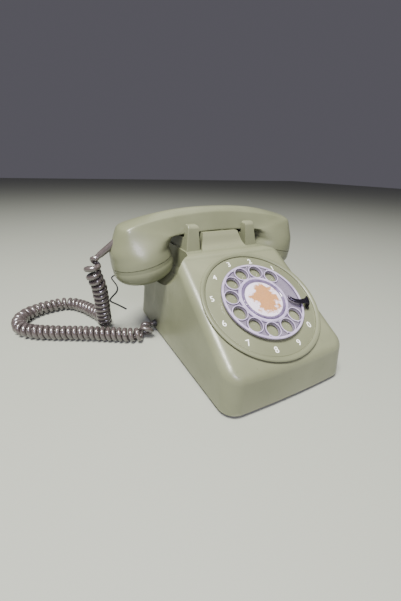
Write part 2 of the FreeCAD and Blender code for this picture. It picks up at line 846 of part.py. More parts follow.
def build_dial_frame():
    frame = Part.makeCylinder(frame_radius, frame_plate_thickness, Vector(0, 0, frame_front_low))
    frame = frame.fuse(Part.makeCylinder(frame_rear_radius, frame_plate_thickness, Vector(0, 0, frame_rear_low)))
    post_length = frame_front_low - frame_rear_top
    for angle in post_angles:
        spot = polar(post_circle_radius, angle)
        frame = frame.fuse(Part.makeCylinder(frame_post_radius, post_length, at(spot, frame_rear_top)))
    for angle in stud_angles:
        spot = polar(post_circle_radius / 2, angle)
        stud = Part.makeCylinder(2 * frame_post_radius, frame_plate_depth, at(spot, frame_front_top))
        frame = frame.fuse(stud)
    depth = frame_front_top - frame_rear_low + 2 * cut_margin
    low = frame_rear_low - cut_margin
    frame = frame.cut(Part.makeCylinder(shaft_radius + running_clearance, depth, Vector(0, 0, low)))
    for spot in (pulse_spot, governor_spot):
        frame = frame.cut(Part.makeCylinder(side_shaft_radius + running_clearance, depth, at(spot, low)))
    for side in (-1, 1):
        hole = Part.makeCylinder(side_shaft_radius + screw_clearance, 3 * frame_plate_thickness,
                                 Vector(side * dial_screw_x, 0, frame_front_low - frame_plate_thickness))
        frame = frame.cut(hole)
    return in_dial(frame.removeSplitter())


def build_dial_shaft():
    low = frame_rear_low - shaft_tail
    return in_dial(Part.makeCylinder(shaft_radius, wheel_top - low, Vector(0, 0, low)))


def build_main_gear():
    wheel = gear(main_teeth, gear_thickness, shaft_radius + running_clearance, pulse_angle)
    wheel.translate(Vector(0, 0, main_gear_low))
    hub_low = main_gear_low + gear_thickness
    hub = Part.makeCylinder(2 * shaft_radius, frame_front_low - end_play - hub_low, Vector(0, 0, hub_low))
    bore = Part.makeCylinder(shaft_radius + running_clearance, frame_inner_depth, Vector(0, 0, main_gear_low))
    hub = hub.cut(bore)
    return in_dial(wheel.fuse(hub).removeSplitter())


cam_radius = 5.0
cam_flat = 3.5
cam_thickness = 2.0
cam_low = -14.5


def build_pulse_wheel():
    gap_angle = pulse_angle + 180.0 + 180.0 / pinion_teeth
    pinion = gear(pinion_teeth, pinion_thickness, 0, gap_angle)
    pinion.translate(at(pulse_spot, pinion_low))
    second = gear(second_teeth, gear_thickness, 0, governor_angle)
    second.translate(at(pulse_spot, second_gear_low))
    shaft_length = frame_front_top - frame_rear_low
    shaft = Part.makeCylinder(side_shaft_radius, shaft_length, at(pulse_spot, frame_rear_low))
    cam = Part.makeCylinder(cam_radius, cam_thickness, at(pulse_spot, cam_low))
    flat = box((cam_flat, -cam_radius, -cut_margin), (2 * cam_radius, cam_radius, cam_thickness + cut_margin))
    flat.translate(at(pulse_spot, cam_low))
    cam = cam.cut(flat)
    spindle = Part.makeCylinder(2 * side_shaft_radius, second_gear_low - cam_low, at(pulse_spot, cam_low))
    return in_dial(shaft.fuse([pinion, second, cam, spindle]).removeSplitter())


def build_governor():
    gap_angle = governor_angle + 180.0 + 180.0 / governor_teeth
    pinion = gear(governor_teeth, pinion_thickness, 0, gap_angle)
    pinion.translate(at(governor_spot, governor_pinion_low))
    shaft_length = frame_front_top - frame_rear_low
    shaft = Part.makeCylinder(side_shaft_radius, shaft_length, at(governor_spot, frame_rear_low))
    low = governor_cup_low + governor_weight_low
    high = governor_cup_top - governor_weight_drop
    arm_reach = governor_weight_radius - governor_arm_inset
    arm = box((-arm_reach, -governor_arm_half, low), (arm_reach, governor_arm_half, high))
    weights = Part.makeCylinder(governor_weight_radius, high - low, Vector(0, 0, low))
    half = governor_weight_radius / 2
    reach = 2 * governor_weight_radius
    notch = box((-half, governor_weight_gap, low - cut_margin), (half, reach, high + cut_margin))
    weights = weights.cut(notch).cut(notch.mirror(Vector(0, 0, 0), Y_AXIS))
    fly = weights.fuse(arm)
    fly.translate(at(governor_spot, 0))
    return in_dial(shaft.fuse([pinion, fly]).removeSplitter())


def build_governor_cup():
    cup = Part.makeCylinder(governor_cup_radius, governor_cup_height, at(governor_spot, governor_cup_low))
    floor_top = governor_cup_low + governor_cup_floor
    hollow_radius = governor_weight_radius + governor_cup_clearance
    hollow = Part.makeCylinder(hollow_radius, governor_cup_height, at(governor_spot, floor_top))
    hole_radius = side_shaft_radius + governor_bore_clearance
    hole = Part.makeCylinder(hole_radius, governor_cup_height, at(governor_spot, governor_cup_low - cut_margin))
    return in_dial(cup.cut(hollow).cut(hole))


def build_spring_drum():
    drum = Part.makeCylinder(spring_outer_radius, spring_height, Vector(0, 0, frame_rear_top))
    low = frame_rear_top - spring_height
    drum = drum.cut(Part.makeCylinder(spring_inner_radius, 3 * spring_height, Vector(0, 0, low)))
    edges = [e for e in drum.Edges if e.BoundBox.ZMin > frame_rear_top + spring_height - 0.01]
    return in_dial(drum.makeChamfer(spring_bevel, edges))


contact_block = 6.0
leaf_thickness = 0.4
leaf_gap = 1.4
leaf_run = 10.0
leaf_tip = 2.0


def build_pulse_contacts():
    # An insulating block on the frame carries two leaves beside the cam
    leaf_low = pulse_spot.y + cam_radius + contact_gap
    leaf_start = pulse_spot.x - cam_radius - leaf_run
    leaf_end = pulse_spot.x + leaf_tip
    leaf_top = cam_low + cam_thickness
    block = box((leaf_start - contact_block, leaf_low - leaf_thickness, frame_rear_top),
                (leaf_start, leaf_low + contact_block, leaf_top))
    pieces = [block]
    for k in range(2):
        y_low = leaf_low + k * (leaf_thickness + leaf_gap)
        pieces.append(box((leaf_start, y_low, cam_low), (leaf_end, y_low + leaf_thickness, leaf_top)))
    return in_dial(Part.makeCompound(pieces))


def build_dial_bracket():
    # Each side has a flange under the dial's frame, a web and a foot on the base plate
    sides = []
    for side in (-1, 1):
        inner = frame_radius - flange_width
        outer = frame_radius
        flange = box((min(side * inner, side * outer), -flange_half_length, frame_front_low - bracket_thickness),
                     (max(side * inner, side * outer), flange_half_length, frame_front_low))
        hole = Part.makeCylinder(side_shaft_radius + screw_clearance, 4 * bracket_thickness,
                                 Vector(side * dial_screw_x, 0, frame_front_low - 2 * bracket_thickness))
        flange = in_dial(flange.cut(hole))
        low_local = frame_front_low - bracket_thickness / 2
        front_top = dial_place.multVec(Vector(0, -flange_half_length, low_local))
        rear_top = dial_place.multVec(Vector(0, flange_half_length, low_local))
        outline = [
            (bracket_front, plate_top), (bracket_rear, plate_top),
            (bracket_rear, plate_top + bracket_rear_rise), (rear_top.y, rear_top.z),
            (front_top.y, front_top.z), (bracket_front, front_top.z - bracket_front_drop)]
        web_x = side * (outer - bracket_thickness / 2) - bracket_thickness / 2
        web = prism([(web_x, y, z) for y, z in outline], (bracket_thickness, 0, 0))
        foot_low = min(side * outer, side * (outer + bracket_foot_width))
        foot = box((foot_low, bracket_front, plate_top),
                   (foot_low + bracket_foot_width, bracket_rear, plate_top + bracket_thickness))
        sides.append(flange.fuse([web, foot]).removeSplitter())
    return Part.makeCompound(sides)


def build_dial_screws():
    shank = 2 * bracket_thickness + frame_plate_thickness
    one = screw(dial_screw_head_radius, frame_plate_depth - end_play, side_shaft_radius, shank)
    pair = [placed(one, (side * dial_screw_x, 0, frame_front_top)) for side in (-1, 1)]
    return in_dial(Part.makeCompound(pair))


save("number_plate", build_number_plate())
save("finger_wheel", build_finger_wheel())
save("wheel_card", build_card())
save("card_retainer", build_retainer())
save("finger_stop", build_finger_stop())
save("dial_frame", build_dial_frame())
save("dial_shaft", build_dial_shaft())
save("main_gear", build_main_gear())
save("pulse_wheel", build_pulse_wheel())
save("governor", build_governor())
save("governor_cup", build_governor_cup())
save("spring_drum", build_spring_drum())
save("pulse_contacts", build_pulse_contacts())
save("dial_bracket", build_dial_bracket())
save("dial_screws", build_dial_screws())


# Hook switch: two plungers under the handset press one bar that turns about a pin
lever_z = crest_height - lever_drop
lever_top = lever_z + lever_thickness
plunger_foot = lever_top + contact_gap
plunger_top = crest_height + plunger_rise
collar_top = crest_height - wall - plunger_travel - contact_gap
pin_z = lever_z - lever_thickness / 2
pin_half_length = bracket_post_x + 2 * lever_arm_thickness
cross_z = lever_z - shelf_drop
hook_leaf_top = lever_z - hook_leaf_drop
hook_leaf_pitch = 3.0
hook_leaf_step = 2.0
hook_leaf_count = 3
finger_low = hook_leaf_top + contact_gap
spring_clearance = 0.3
spring_wall = 0.9
spring_wire_radius = 0.35
spring_length = 11.0


def build_plunger(side):
    half_x = plunger_width / 2
    half_y = plunger_length / 2
    x = side * plunger_x
    collar_low = collar_top - plunger_collar_height
    body = box((x - half_x, cradle_y - half_y, collar_low), (x + half_x, cradle_y + half_y, plunger_top))
    body = body.makeFillet(half_x / 3, [e for e in body.Edges if e.BoundBox.ZMin > plunger_top - 0.01])
    collar = box((x - half_x - plunger_collar_x, cradle_y - half_y - plunger_collar_y, collar_low),
                 (x + half_x + plunger_collar_x, cradle_y + half_y + plunger_collar_y, collar_top))
    toe_top = collar_low + plunger_collar_height / 2
    toe = rod(plunger_width / 4, (x, cradle_y, plunger_foot), (x, cradle_y, toe_top))
    return body.fuse([collar, toe]).removeSplitter()


def build_hook_lever():
    half = lever_bar_width / 2
    bar = box((-lever_half_length, cradle_y - half, lever_z), (lever_half_length, cradle_y + half, lever_top))
    pieces = []
    for side in (-1, 1):
        low_x = min(side * lever_arm_x, side * (lever_arm_x + lever_arm_thickness))
        arm = box((low_x, cradle_y - half, lever_top - 2 * lever_ear_radius),
                  (low_x + lever_arm_thickness, lever_pivot_y, lever_top))
        corner = Vector(low_x, lever_pivot_y, pin_z)
        ear_disc = Part.makeCylinder(lever_ear_radius, lever_arm_thickness, corner, X_AXIS)
        pieces += [arm, ear_disc]
    finger_top = lever_z + lever_thickness / 2
    finger = box((-half, cradle_y + half / 4, finger_low), (half, cradle_y + half, finger_top))
    lever = bar.fuse(pieces + [finger]).removeSplitter()
    return lever.cut(hook_pin(hook_pin_radius + running_clearance))


def build_hook_bracket():
    half = post_width / 2
    pieces = []
    for side in (-1, 1):
        low_x = min(side * bracket_post_x, side * (bracket_post_x + lever_arm_thickness))
        post = box((low_x, lever_pivot_y - half, plate_top),
                   (low_x + lever_arm_thickness, lever_pivot_y + half, pin_z))
        crown = Part.makeCylinder(half, lever_arm_thickness, Vector(low_x, lever_pivot_y, pin_z), X_AXIS)
        foot_low = min(side * bracket_post_x, side * (bracket_post_x + post_width))
        foot = box((foot_low, lever_pivot_y - half, plate_top),
                   (foot_low + post_width, lever_pivot_y + half, plate_top + lever_arm_thickness))
        pieces += [post, crown, foot]
    shelf = box((-bracket_post_x - lever_arm_thickness / 2, lever_pivot_y - half, cross_z),
                (bracket_post_x + lever_arm_thickness / 2, lever_pivot_y + half, cross_z + lever_arm_thickness))
    bracket = shelf.fuse(pieces).removeSplitter()
    return bracket.cut(hook_pin(hook_pin_radius + running_clearance))


def hook_pin(radius):
    return rod(radius, (-pin_half_length, lever_pivot_y, pin_z), (pin_half_length, lever_pivot_y, pin_z))


def build_hook_contacts():
    base_z = cross_z + lever_arm_thickness
    half = contact_block
    block = box((-half, lever_pivot_y - half / 2, base_z), (half, lever_pivot_y + half / 2, hook_leaf_top))
    pieces = [block]
    for k in range(hook_leaf_count):
        z_high = hook_leaf_top - k * hook_leaf_pitch
        reach = cradle_y - k * hook_leaf_step
        root = lever_pivot_y - half / 2
        pieces.append(box((-half / 2, reach, z_high - leaf_thickness), (half / 2, root, z_high)))
    return Part.makeCompound(pieces)


def build_hook_spring():
    # A closely wound sleeve on the pin with one leg down to the shelf
    inner = hook_pin_radius + spring_clearance
    end_x = lever_arm_x - contact_gap
    low = (end_x - spring_length, lever_pivot_y, pin_z)
    high = (end_x, lever_pivot_y, pin_z)
    sleeve = rod(inner + spring_wall, low, high).cut(rod(inner, low, high))
    leg_x = end_x - spring_length + spring_wall
    leg_y = lever_pivot_y + inner + spring_wall / 2
    leg = rod(spring_wire_radius, (leg_x, leg_y, cross_z + lever_arm_thickness), (leg_x, leg_y, pin_z))
    return sleeve.fuse(leg).removeSplitter()


save("plunger_left", build_plunger(-1))
save("plunger_right", build_plunger(1))
save("hook_lever", build_hook_lever())
save("hook_bracket", build_hook_bracket())
save("hook_pin", hook_pin(hook_pin_radius))
save("hook_contacts", build_hook_contacts())
save("hook_spring", build_hook_spring())


# Network block with its terminal screws
terminal_rows = 2
terminal_count = 5
terminal_pitch = 10.0
terminal_spread = 38.0
terminal_head_radius = 3.0
terminal_head_height = 1.8
terminal_shank_radius = 1.5
terminal_shank_length = 6.0
network_corner_radius = 3.0
network_chamfer = 1.0
network_top = plate_top + network_height


def build_network():
    half_x = network_width / 2
    half_y = network_length / 2
    block = box((-half_x, network_y - half_y, plate_top), (half_x, network_y + half_y, network_top))
    upright = [e for e in block.Edges if e.BoundBox.ZLength > network_height - 1]
    block = block.makeFillet(network_corner_radius, upright)
    top_edges = [e for e in block.Edges if e.BoundBox.ZMin > network_top - 0.01]
    block = block.makeChamfer(network_chamfer, top_edges)
    for x, y in terminal_places():
        low = network_top - terminal_shank_length - cut_margin
        high = network_top + cut_margin
        block = block.cut(rod(terminal_shank_radius + screw_clearance, (x, y, low), (x, y, high)))
    return block


def terminal_places():
    places = []
    for row in range(terminal_rows):
        x = (row - (terminal_rows - 1) / 2) * terminal_spread
        for k in range(terminal_count):
            places.append((x, network_y + (k - (terminal_count - 1) / 2) * terminal_pitch))
    return places


def build_terminal_screws():
    one = screw(terminal_head_radius, terminal_head_height, terminal_shank_radius, terminal_shank_length)
    return Part.makeCompound([placed(one, (x, y, network_top)) for x, y in terminal_places()])


save("network_block", build_network())
save("terminal_screws", build_terminal_screws())


# Ringer: two gongs on posts, a coil between two cheeks and a clapper on a pin
ringer_floor = plate_top + ringer_frame_thickness
gong_top = gong_base_z + gong_height
post_radius = 3.2
gong_hole_radius = 2.2
gong_screw_radius = 2.0
gong_screw_length = 9.0
gong_screw_head_radius = 4.0
gong_screw_head_height = 1.8
gong_shoulder = 9.0
gong_flare = 3.4
gong_flare_share = 0.62
ringer_front_reach = 8.0
ringer_half_x = 42.0
cheek_x = coil_length / 2
cheek_thickness = 2.0
clapper_pin_radius = 1.5
clapper_hub_radius = 3.1
clapper_hub_height = 6.0
armature_half = 12.0
armature_near = 0.8
armature_far = 2.2
coil_core_radius = 2.0
coil_end_play = 0.2
coil_flange = 1.5
coil_winding_drop = 1.6


def build_ringer_frame():
    floor = box((-ringer_half_x, gong_y - ringer_front_reach, plate_top),
                (ringer_half_x, coil_y + coil_radius, ringer_floor))
    pieces = []
    for side in (-1, 1):
        x = side * gong_x
        pieces.append(rod(post_radius, (x, gong_y, plate_top), (x, gong_y, gong_top - gong_wall)))
        low_x = min(side * cheek_x, side * (cheek_x + cheek_thickness))
        pieces.append(box((low_x, coil_y - coil_radius, plate_top),
                          (low_x + cheek_thickness, coil_y + coil_radius, coil_z + coil_radius)))
    pin_top = clapper_z + clapper_hub_height
    pieces.append(rod(clapper_pin_radius, (0, clapper_pivot_y, plate_top), (0, clapper_pivot_y, pin_top)))
    frame = floor.fuse(pieces).removeSplitter()
    bore_low = gong_top - gong_screw_length - cut_margin
    bore_radius = gong_screw_radius + running_clearance
    for side in (-1, 1):
        x = side * gong_x
        frame = frame.cut(rod(bore_radius, (x, gong_y, bore_low), (x, gong_y, gong_top)))
    reach = cheek_x + cheek_thickness + cut_margin
    core_bore = coil_core_radius + running_clearance
    return frame.cut(rod(core_bore, (-reach, coil_y, coil_z), (reach, coil_y, coil_z)))


def build_ringer_coil():
    # A bobbin with two flanges and its winding, on a core whose ends sit in the cheeks
    reach = cheek_x + cheek_thickness
    end = cheek_x - coil_end_play
    pieces = [rod(coil_core_radius, (-reach, coil_y, coil_z), (reach, coil_y, coil_z))]
    for side in (-1, 1):
        inner = side * (end - coil_flange)
        outer = side * end
        pieces.append(rod(coil_radius - coil_end_play, (inner, coil_y, coil_z), (outer, coil_y, coil_z)))
    winding = rod(coil_radius - coil_winding_drop, (-end, coil_y, coil_z), (end, coil_y, coil_z))
    return winding.fuse(pieces).removeSplitter()


def gong_outline(rim_radius, top, low):
    # Rim, flared side and edge of the flat crown, from the rim inwards
    start = Vector(rim_radius, 0, low)
    mid = Vector(rim_radius - gong_flare, 0, low + (top - low) * gong_flare_share)
    end = Vector(rim_radius - gong_shoulder, 0, top)
    return start, mid, end


def build_gong(side):
    o_start, o_mid, o_end = gong_outline(gong_radius, gong_top, gong_base_z)
    i_start, i_mid, i_end = gong_outline(gong_radius - gong_wall, gong_top - gong_wall, gong_base_z)
    o_hub = Vector(gong_hole_radius, 0, gong_top)
    i_hub = Vector(gong_hole_radius, 0, gong_top - gong_wall)
    edges = [
        Part.Arc(o_start, o_mid, o_end).toShape(),
        Part.LineSegment(o_end, o_hub).toShape(),
        Part.LineSegment(o_hub, i_hub).toShape(),
        Part.LineSegment(i_hub, i_end).toShape(),
        Part.Arc(i_end, i_mid, i_start).toShape(),
        Part.LineSegment(i_start, o_start).toShape(),
    ]
    gong = Part.Face(Part.Wire(edges)).revolve(Vector(0, 0, 0), Z_AXIS, 360)
    gong.translate(Vector(side * gong_x, gong_y, 0))
    return gong


def build_gong_screws():
    one = screw(gong_screw_head_radius, gong_screw_head_height, gong_screw_radius, gong_screw_length)
    return Part.makeCompound([placed(one, (side * gong_x, gong_y, gong_top)) for side in (-1, 1)])


def build_clapper():
    half = clapper_hub_height / 2
    hub_low = clapper_z - half
    hub = rod(clapper_hub_radius, (0, clapper_pivot_y, hub_low), (0, clapper_pivot_y, clapper_z + half))
    arm = rod(clapper_rod_radius, (0, clapper_pivot_y, clapper_z), (0, gong_y, clapper_z))
    ball = Part.makeSphere(clapper_ball_radius, Vector(0, gong_y, clapper_z))
    armature = box((-armature_half, clapper_pivot_y + armature_near, clapper_z - half),
                   (armature_half, clapper_pivot_y + armature_far, clapper_z + half))
    clapper = hub.fuse([arm, ball, armature]).removeSplitter()
    low = clapper_z - clapper_hub_height
    high = clapper_z + clapper_hub_height
    bore = rod(clapper_pin_radius + running_clearance, (0, clapper_pivot_y, low), (0, clapper_pivot_y, high))
    return clapper.cut(bore)


def build_volume_wheel():
    # A notched wheel under the base plate with its shaft and a stop disc above the plate
    high = plate_z - end_play
    low = high - volume_thickness
    wheel = rod(volume_radius, (volume_x, volume_y, low), (volume_x, volume_y, high))
    for k in range(volume_notches):
        spot = polar(volume_radius, 360.0 * k / volume_notches) + Vector(volume_x, volume_y, 0)
        notch_low = low - cut_margin
        notch = rod(volume_notch_radius, (spot.x, spot.y, notch_low), (spot.x, spot.y, high + cut_margin))
        wheel = wheel.cut(notch)
    disc_low = plate_top + end_play
    disc_top = disc_low + volume_thickness
    shaft = rod(volume_shaft_radius, (volume_x, volume_y, low), (volume_x, volume_y, disc_top))
    disc = rod(2 * volume_shaft_radius, (volume_x, volume_y, disc_low), (volume_x, volume_y, disc_top))
    return wheel.fuse([shaft, disc]).removeSplitter()


save("ringer_frame", build_ringer_frame())
save("ringer_coil", build_ringer_coil())
save("gong_left", build_gong(-1))
save("gong_right", build_gong(1))
save("gong_screws", build_gong_screws())
save("clapper", build_clapper())
save("volume_wheel", build_volume_wheel())


# Handset: one moulded handle whose section grows from the grip into the round cups
def cup_place(side):
    way = Vector(side * math.sin(math.radians(cup_tilt)), 0, math.cos(math.radians(cup_tilt)))
    return Placement(Vector(side * cup_x, cradle_y, cup_seam_z), Rotation(Z_AXIS, way))


neck_outer = cup_radius - cap_wall - cap_gap
neck_inner = neck_outer - neck_wall


def grip_outline(height, half_width, crease_width, crease_drop):
    # Poles of one half of the grip's section as (across, up), from the middle of its top to its underside
    crown = Vector(0, height / 2, 0)
    crease = Vector(crease_width, height / 2 - crease_drop, 0)
    edge = Vector(half_width, -height / 2, 0)
    foot = Vector(0, -height / 2, 0)
    shoulder = Vector(crease_width / 2, height / 2 - crease_drop / 4, 0)
    flank = edge - crease
    run = flank.Length
    down = flank * (1 / run)
    rise = (shoulder - crease).normalize()
    inward = (foot - edge).normalize()
    return [
        crown, shoulder, crease + rise * crease_span, crease, crease + down * crease_span,
        crease + down * (run / 3), crease + down * (run * 2 / 3), edge - down * edge_span,
        edge, edge + inward * edge_span, edge + inward * (half_width / 2), foot]


def handle_section(inner, outer, half_width, crease_width, crease_drop, top_share, low_share):
    # Poles of a closed section in the plane through two (x, z) points of the underside and the top
    inner_point = Vector(inner[0], cradle_y, inner[1])
    outer_point = Vector(outer[0], cradle_y, outer[1])
    centre = (inner_point + outer_point) * 0.5
    along = outer_point - inner_point
    height = along.Length
    along.normalize()
    outline = grip_outline(height, half_width, crease_width, crease_drop)
    half_count = len(outline) - 1
    grow = 3 / (2 + math.cos(math.pi / half_count))
    points = []
    for k in range(2 * half_count):
        place = min(k, 2 * half_count - k)
        hand = 1 if k <= half_count else -1
        turn = math.pi * place / half_count
        ring = Vector(math.sin(turn) * half_width, math.cos(turn) * height / 2, 0) * grow
        share = top_share + (low_share - top_share) * place / half_count
        pole = ring * (1 - share) + outline[place] * share
        points.append(centre + along * pole.y + Vector(0, hand * pole.x, 0))
    return points


def tube_solid(rows, degree):
    # Smooth closed solid whose skin is steered by rows of poles, with flat ends at the first and last row
    poles = [[row[k] for row in rows] for k in range(len(rows[0]))]
    around = len(poles)
    spans = len(rows) - degree
    surface = Part.BSplineSurface()
    surface.buildFromPolesMultsKnots(
        poles, [1] * (around + 1), [degree + 1] + [1] * (spans - 1) + [degree + 1],
        [float(k) for k in range(around + 1)], [float(k) for k in range(spans + 1)], True, False, 3, degree)
    skin = surface.toShape()
    ends = [Part.Face(Part.Wire([edge])) for edge in skin.Edges if edge.isClosed()]
    shell = Part.Shell([skin] + ends)
    shell.sewShape()
    return Part.Solid(shell)


def cup_point(radius, height):
    # (x, z) of a point of the right cup in its tilted frame
    tilt = math.radians(cup_tilt)
    return (cup_x + radius * math.cos(tilt) + height * math.sin(tilt),
            cup_seam_z - radius * math.sin(tilt) + height * math.cos(tilt))


def build_handle():
    right = []
    for rise, draw_in in cup_rows:
        radius = cup_radius - draw_in
        right.append((cup_point(-radius, rise), cup_point(radius, rise), radius, radius, 0.0, 0.0, 0.0))
    right += handle_rows
    left = [((-row[0][0], row[0][1]), (-row[1][0], row[1][1])) + row[2:] for row in reversed(right[:-1])]
    handle = tube_solid([handle_section(*row) for row in right + left], 3)
    cavity_low = -neck_length - cut_margin
    for side in (-1, 1):
        place = cup_place(side)
        neck = Part.makeCylinder(neck_outer, neck_length, Vector(0, 0, -neck_length))
        cavity = Part.makeCylinder(neck_inner, cup_cavity_rise - cavity_low, Vector(0, 0, cavity_low))
        neck.Placement = place
        cavity.Placement = place
        handle = handle.fuse(neck).cut(cavity)
    way = Vector(*relief_end) - Vector(*relief_start)
    bore_end = Vector(*relief_start) + way * 2
    return handle.cut(rod(relief_radius + running_clearance, relief_start, bore_end))


def cap_outline(inset):
    # Collar, rounded side and flat face of a cap, at a distance inside its outer skin
    start = Vector(cup_radius - inset, 0, -cap_collar_height)
    end = Vector(cap_flat_radius - inset * cap_inner_share, 0, -cap_height + inset)
    corner_x = start.x - end.x
    corner_z = start.z - end.z
    mid = Vector(end.x + corner_x * cap_side_share, 0, start.z - corner_z * cap_side_share)
    return start, mid, end


def build_cap(side, hole_rings):
    o_start, o_mid, o_end = cap_outline(0.0)
    i_start, i_mid, i_end = cap_outline(cap_wall)
    top_outer = Vector(cup_radius - cap_lip, 0, 0)
    lip_foot = Vector(cup_radius - cap_lip, 0, -cap_lip_height)
    lip_low = Vector(cup_radius, 0, -cap_lip_height)
    top_inner = Vector(cup_radius - cap_wall, 0, 0)
    o_axis = Vector(0, 0, -cap_height)
    i_axis = Vector(0, 0, -cap_height + cap_wall)
    edges = [
        Part.LineSegment(top_inner, top_outer).toShape(),
        Part.LineSegment(top_outer, lip_foot).toShape(),
        Part.LineSegment(lip_foot, lip_low).toShape(),
        Part.LineSegment(lip_low, o_start).toShape(),
        Part.Arc(o_start, o_mid, o_end).toShape(),
        Part.LineSegment(o_end, o_axis).toShape(),
        Part.LineSegment(o_axis, i_axis).toShape(),
        Part.LineSegment(i_axis, i_end).toShape(),
        Part.Arc(i_end, i_mid, i_start).toShape(),
        Part.LineSegment(i_start, top_inner).toShape(),
    ]
    cap = Part.Face(Part.Wire(edges)).revolve(Vector(0, 0, 0), Z_AXIS, 360)
    rib_low = -cap_height + cap_wall / 2
    rib = Part.makeCylinder(cap_rib_outer, unit_low - unit_rib_gap - rib_low, Vector(0, 0, rib_low))
    rib = rib.cut(Part.makeCylinder(cap_rib_inner, 3 * cap_height, Vector(0, 0, -2 * cap_height)))
    cap = cap.fuse(rib)
    drills = []
    for ring_radius, ring_count in hole_rings:
        for k in range(ring_count):
            spot = polar(ring_radius, 360.0 * k / ring_count)
            drills.append(Part.makeCylinder(cap_hole_radius, 3 * cap_wall, at(spot, -cap_height - cap_wall)))
    cap = cap.cut(drills)
    cap.Placement = cup_place(side)
    return cap


def in_cup(side, shape):
    moved = shape.copy()
    moved.Placement = cup_place(side).multiply(moved.Placement)
    return moved


def build_unit(side, height):
    # A round capsule with a stepped rear
    low = Part.makeCylinder(unit_radius, height * unit_step_share, Vector(0, 0, unit_low))
    high = Part.makeCylinder(unit_radius * unit_rear_share, height, Vector(0, 0, unit_low))
    return in_cup(side, low.fuse(high).removeSplitter())


def build_contact_cup():
    low = unit_low + transmitter_height + unit_rib_gap
    disc = Part.makeCylinder(neck_inner - contact_cup_clearance, contact_cup_height, Vector(0, 0, low))
    bore = Part.makeCylinder(contact_cup_bore, 3 * contact_cup_height, Vector(0, 0, low - contact_cup_height))
    disc = disc.cut(bore)
    return in_cup(-1, disc)


save("handset_handle", build_handle())
save("receiver_cap", build_cap(1, [(0.0, 1), (5.0, 6), (10.0, 12)]))
save("transmitter_cap", build_cap(-1, [(0.0, 1), (4.5, 6), (9.0, 12), (13.5, 18)]))
save("receiver_unit", build_unit(1, receiver_height))
save("transmitter_unit", build_unit(-1, transmitter_height))
save("transmitter_cup", build_contact_cup())


# Curly cord, wound round a smooth route, and its pieces
def build_relief():
    start = Vector(*relief_start)
    way = Vector(*relief_end) - start
    return Part.makeCone(relief_radius, relief_tip_radius, way.Length, start, way)


def build_cord_grommet():
    wall_point = (grommet_wall_x, grommet_y, grommet_z)
    stem = rod(grommet_stem_radius, (grommet_wall_x + grommet_stem_length, grommet_y, grommet_z), wall_point)
    flange = rod(grommet_radius, (grommet_wall_x - grommet_flange, grommet_y, grommet_z), wall_point)
    nose_start = Vector(grommet_wall_x - grommet_flange, grommet_y, grommet_z)
    nose_length = nose_start.x - cord_route[-1][0] - cord_end_gap
    nose = Part.makeCone(grommet_radius - nose_step, relief_tip_radius, nose_length, nose_start, -X_AXIS)
    return stem.fuse([flange, nose]).removeSplitter()


def route_curve():
    curve = Part.BSplineCurve()
    curve.buildFromPoles([Vector(*p) for p in cord_route], False, 2)
    return curve


def curl_frames():
    # Evenly spaced points of the route with a frame that doesn't twist
    curve = route_curve()
    edge = curve.toShape()
    count = int(edge.Length / curl_frame_step) + 1
    points = edge.discretize(Number=count)
    step = edge.Length / (count - 1)
    tangents = []
    for k in range(count):
        before = points[max(0, k - 1)]
        after = points[min(count - 1, k + 1)]
        tangents.append((after - before).normalize())
    normal = tangents[0].cross(Y_AXIS).normalize()
    normals = []
    for tangent in tangents:
        normal = normal - tangent * normal.dot(tangent)
        normal.normalize()
        normals.append(Vector(normal))
    bends = []
    for k in range(count):
        low = max(0, k - curl_bend_count)
        high = min(count - 1, k + curl_bend_count)
        bends.append(tangents[low].getAngle(tangents[high]) / ((high - low) * step))
    return points, tangents, normals, bends, step


curl_frame_step = 0.4
curl_lead = cord_diameter
curl_ramp = 20.0
curl_loose_pitch = 18.0
curl_lead_margin = 5.0
curl_bend_count = 3
curl_bend_limit = 0.1
curl_loose_share = 0.7
curl_last_angle = 0.2
curl_probe = 0.05


def curl_radius(along, length):
    # The curls open from nothing over the ramp at each end
    reach = min(along, length - along) - curl_lead
    share = max(0.0, min(1.0, reach / curl_ramp))
    return curl_mean_radius * share * share * (3 - 2 * share)


def curl_pitch_at(along, length, bend):
    reach = min(along, length - along) - curl_lead
    share = max(0.0, min(1.0, (reach - curl_ramp * curl_loose_share) / curl_ramp))
    loose = curl_loose_pitch + (curl_pitch - curl_loose_pitch) * share
    tight = (cord_diameter + curl_gap) / (1 - curl_mean_radius * min(bend, curl_bend_limit))
    return max(loose, tight)


